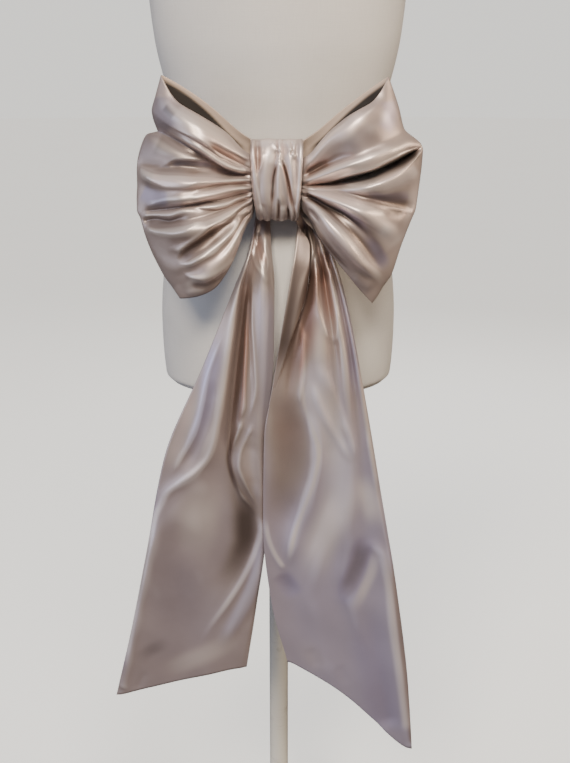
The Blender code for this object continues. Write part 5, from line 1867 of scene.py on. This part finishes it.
@dataclass
class Stand:
    """Enamelled pole and round base, in metres.

    Attributes:
        base_radius: radius of the base.
        base_height: height of the base.
        pole_radius: radius of the pole.
        collar: radius and height of the collar at the pole's foot.
        flange: radius and height of the flange under the torso.
        torso_foot: height of the torso's underside.
        gap: gap between the pole and its neighbours.
        rounding: radius of the rounded corners.
        corner_steps: steps round such a corner.
        bevel: size of the small bevels.
        flange_edge: size of the flange's bevels.
        top_ring: share of the base's radius at which its top has a ring of points.
        pole_ring: height above the collar at which the pole has one.
        flare: how far below the flange the pole starts to widen, and goes on widening.
        flare_radius: radius of the pole where it meets the flange.
        base_steps: faces round the base.
        pole_steps: faces round the pole.
    """
    base_radius: float = 0.170
    base_height: float = 0.016
    pole_radius: float = 0.014
    collar: tuple = (0.030, 0.030)
    flange: tuple = (0.060, 0.008)
    torso_foot: float = 0.784
    gap: float = 0.0003
    rounding: float = 0.008
    corner_steps: int = 5
    bevel: float = 0.002
    flange_edge: float = 0.001
    top_ring: float = 0.5
    pole_ring: float = 0.2
    flare: tuple = (0.012, 0.006)
    flare_radius: float = 0.0224
    base_steps: int = 128
    pole_steps: int = 64

    def rounded(self, radius: float, height: float) -> list:
        """Profile points of a rounded upper corner, listed upwards.

        Args:
            radius: distance of the sharp corner from the axis.
            height: height of the sharp corner.
        """
        middle = (radius - self.rounding, height - self.rounding)
        points = []
        for i in range(self.corner_steps + 1):
            angle = i / self.corner_steps * math.pi / 2
            points.append((middle[0] + self.rounding * math.cos(angle),
                           middle[1] + self.rounding * math.sin(angle)))
        return points

    def build_base(self) -> bpy.types.Object:
        """Builds the round base."""
        r, h = self.base_radius, self.base_height
        profile = [(0.0, 0.0), (r - self.bevel, 0.0), (r, self.bevel)]
        profile += self.rounded(r, h)
        profile += [(r * self.top_ring, h), (0.0, h)]
        return turned_object("enamel_base", profile, self.base_steps)

    def build_pole(self) -> bpy.types.Object:
        """Builds the pole with its collar and flange."""
        r = self.pole_radius
        foot = self.base_height + self.gap
        collar_r, collar_h = self.collar
        flange_r, flange_h = self.flange
        top = self.torso_foot - self.gap
        low = top - flange_h
        bevel, edge = self.bevel, self.flange_edge
        start, middle = self.flare
        profile = [(0.0, foot), (collar_r, foot)]
        profile += self.rounded(collar_r, foot + collar_h)
        profile += [(r + bevel, foot + collar_h), (r, foot + collar_h + bevel)]
        profile += [(r, foot + collar_h + self.pole_ring), (r, low - start)]
        profile += [(r + bevel, low - middle), (self.flare_radius, low)]
        profile += [(flange_r - edge, low), (flange_r, low + edge)]
        profile += [(flange_r, top - edge), (flange_r - edge, top), (0.0, top)]
        return turned_object("enamel_pole", profile, self.pole_steps)


# ---- studio -----------------------------------------------------------------------------
@dataclass(frozen=True)
class Lamp:
    """One soft light."""
    name: str
    place: tuple
    aim: tuple
    size: tuple
    power: float
    colour: tuple

    def build(self) -> None:
        """Adds the light."""
        light = bpy.data.lights.new(self.name, "AREA")
        light.shape = "RECTANGLE"
        light.size, light.size_y = self.size
        light.energy = self.power
        light.color = self.colour
        lamp = bpy.data.objects.new(self.name, light)
        lamp.location = self.place
        aim = Vector(self.aim) - Vector(self.place)
        lamp.rotation_euler = aim.to_track_quat("-Z", "Y").to_euler()
        bpy.context.scene.collection.objects.link(lamp)


@dataclass
class Studio:
    """Floor, lights and camera."""
    camera_place: tuple = (0.00944, -1.41692, 1.20801)
    pitch_down: float = 17.0
    lens: float = 49.97
    sensor: float = 36.0
    floor_radius: float = 22.0
    floor_steps: int = 96
    backdrop: tuple = (1.125, 1.100, 1.040)
    shadow_side: tuple = (0.100, 0.088, 0.082)
    cool_side: tuple = (0.370, 0.400, 0.490)
    warm_side: tuple = (0.360, 0.300, 0.230)
    cool_way: tuple = (-0.60, -0.45, 0.66)
    warm_way: tuple = (0.85, -0.35, 0.25)
    cool_span: tuple = (0.15, 0.95)
    warm_span: tuple = (0.35, 1.0)
    warm_share: float = 0.6
    sun_aim: tuple = (0.22, 0.74, -0.64)
    sun_power: float = 2.2
    sun_spread: float = 18.0
    sun_colour: tuple = (1.0, 0.88, 0.70)
    lamps: tuple = (
        Lamp("window", (-2.2, -0.9, 1.05), (0.0, -0.12, 0.90), (1.4, 1.4), 14.0,
             (0.68, 0.78, 1.0)),
        Lamp("key", (0.25, -1.25, 2.15), (0.0, -0.15, 1.05), (0.45, 0.45), 22.0,
             (1.0, 0.90, 0.76)),
        Lamp("warm_side", (2.0, -0.6, 1.7), (0.0, -0.12, 1.0), (0.7, 0.9), 20.0,
             (1.0, 0.80, 0.58)),
        Lamp("back", (0.6, 2.6, 2.4), (0.0, 0.0, 1.0), (1.6, 1.6), 45.0,
             (0.95, 0.97, 1.0)),
    )

    def build(self) -> None:
        """Builds the floor, the lights and the camera."""
        work = bmesh.new()
        bmesh.ops.create_circle(work, cap_ends=True, radius=self.floor_radius,
                                segments=self.floor_steps)
        floor = object_of("studio_floor", work)
        floor.data.materials.append(FloorPaint().material())
        floor.visible_glossy = False
        floor.visible_diffuse = False
        for lamp in self.lamps:
            lamp.build()
        sun = bpy.data.lights.new("daylight", "SUN")
        sun.energy = self.sun_power
        sun.angle = math.radians(self.sun_spread)
        sun.color = self.sun_colour
        daylight = bpy.data.objects.new("daylight", sun)
        daylight.rotation_euler = Vector(self.sun_aim).to_track_quat("-Z", "Y").to_euler()
        bpy.context.scene.collection.objects.link(daylight)
        bpy.context.scene.world = self.surroundings()
        camera = bpy.data.cameras.new("camera")
        camera.sensor_width = self.sensor
        camera.lens = self.lens
        view = bpy.data.objects.new("camera", camera)
        view.location = self.camera_place
        view.rotation_euler = (math.radians(90.0 - self.pitch_down), 0.0, 0.0)
        bpy.context.scene.collection.objects.link(view)
        bpy.context.scene.camera = view

    def surroundings(self) -> bpy.types.World:
        """A dim room with a cool window side, a warm side and a pale backdrop."""
        world = bpy.data.worlds.new("studio_world")
        world.use_nodes = True
        tree = Tree.of_world(world)
        where = tree.add("ShaderNodeTexCoord", output="Generated")
        cool, warm = (tree.add("ShaderNodeVectorMath", {"operation": "DOT_PRODUCT"},
                               {0: where, 1: way}, "Value")
                      for way in (self.cool_way, self.warm_way))
        colour = tree.mix(cool.above(*self.cool_span), self.shadow_side, self.cool_side)
        warmth = warm.above(*self.warm_span) * self.warm_share
        colour = tree.mix(warmth, colour, self.warm_side)
        seen = tree.add("ShaderNodeLightPath", output="Is Camera Ray")
        colour = tree.mix(seen, colour, self.backdrop)
        tree.put(tree.nodes["Background"].inputs["Color"], colour)
        return world


# ---- putting it together ------------------------------------------------------------------
def settle(piece: bpy.types.Object, node: str, slot: str,
           material: bpy.types.Material) -> bpy.types.Object:
    """Dresses a piece, puts it in its solid's place and reports it."""
    piece.data.materials.append(material)
    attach(piece, BODY)
    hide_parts(node)
    log.info("%s stands for %s, %d faces", piece.name, node, len(piece.data.polygons))
    return piece


def main() -> None:
    """Builds every piece in order."""
    logging.basicConfig(level=logging.INFO, format="%(message)s")
    Studio().build()
    form = DressForm()
    band = WaistBand()
    knot = Knot()
    torso = settle(form.build(), form.node, "linen", Linen().material())
    stand = Stand()
    settle(stand.build_base(), "base", "enamel", Enamel("base_enamel").material())
    settle(stand.build_pole(), "pole", "enamel", Enamel("pole_enamel").material())

    sash = settle(band.build(form), band.node, "satin", Satin("satin_band").material())
    ring = settle(knot.build(), knot.node, "satin", Satin("satin_knot").material())
    loops = (
        Loop("satin_loop_left", "loop_left", -1, LEFT_FOLDS, LEFT_CREASES, LEFT_LIGHT_PATCHES,
             cut=(0.275, 0.375), cut_area=0.080, seed=0.4, fold_shade=0.7),
        Loop("satin_loop_right", "loop_right", 1, RIGHT_FOLDS, RIGHT_CREASES, RIGHT_LIGHT_PATCHES,
             cut=(0.295, 0.400), cut_area=0.089, seed=2.1, back_rise=3.0),
    )
    for loop in loops:
        piece = settle(loop.build(), loop.node, "satin", Satin(loop.name).material())
        piece.data.materials.append(Reverse(loop.name + "_reverse").material())
        piece.modifiers["wall"].material_offset = 1
    tails = (
        Tail("satin_tail_left", "tail_left", LEFT_TAIL, LEFT_TAIL_CREASES,
             LEFT_TAIL_LIGHT_PATCHES, forward=0.0, cut=(0.175, 0.720), cut_area=0.119, seed=1.1),
        Tail("satin_tail_right", "tail_right", RIGHT_TAIL, RIGHT_TAIL_CREASES,
             RIGHT_TAIL_LIGHT_PATCHES, forward=7.0, cut=(0.175, 0.790), cut_area=0.125, seed=2.9,
             turned=1.3, per_gap=15),
    )
    for tail in tails:
        back = Satin(tail.name + "_back", back=True)
        piece = settle(tail.build(), tail.node, "satin", back.material())
        piece.data.materials.append(Satin(tail.name).material())
        piece.modifiers["wall"].material_offset = 1


if __name__ == "__main__":
    main()
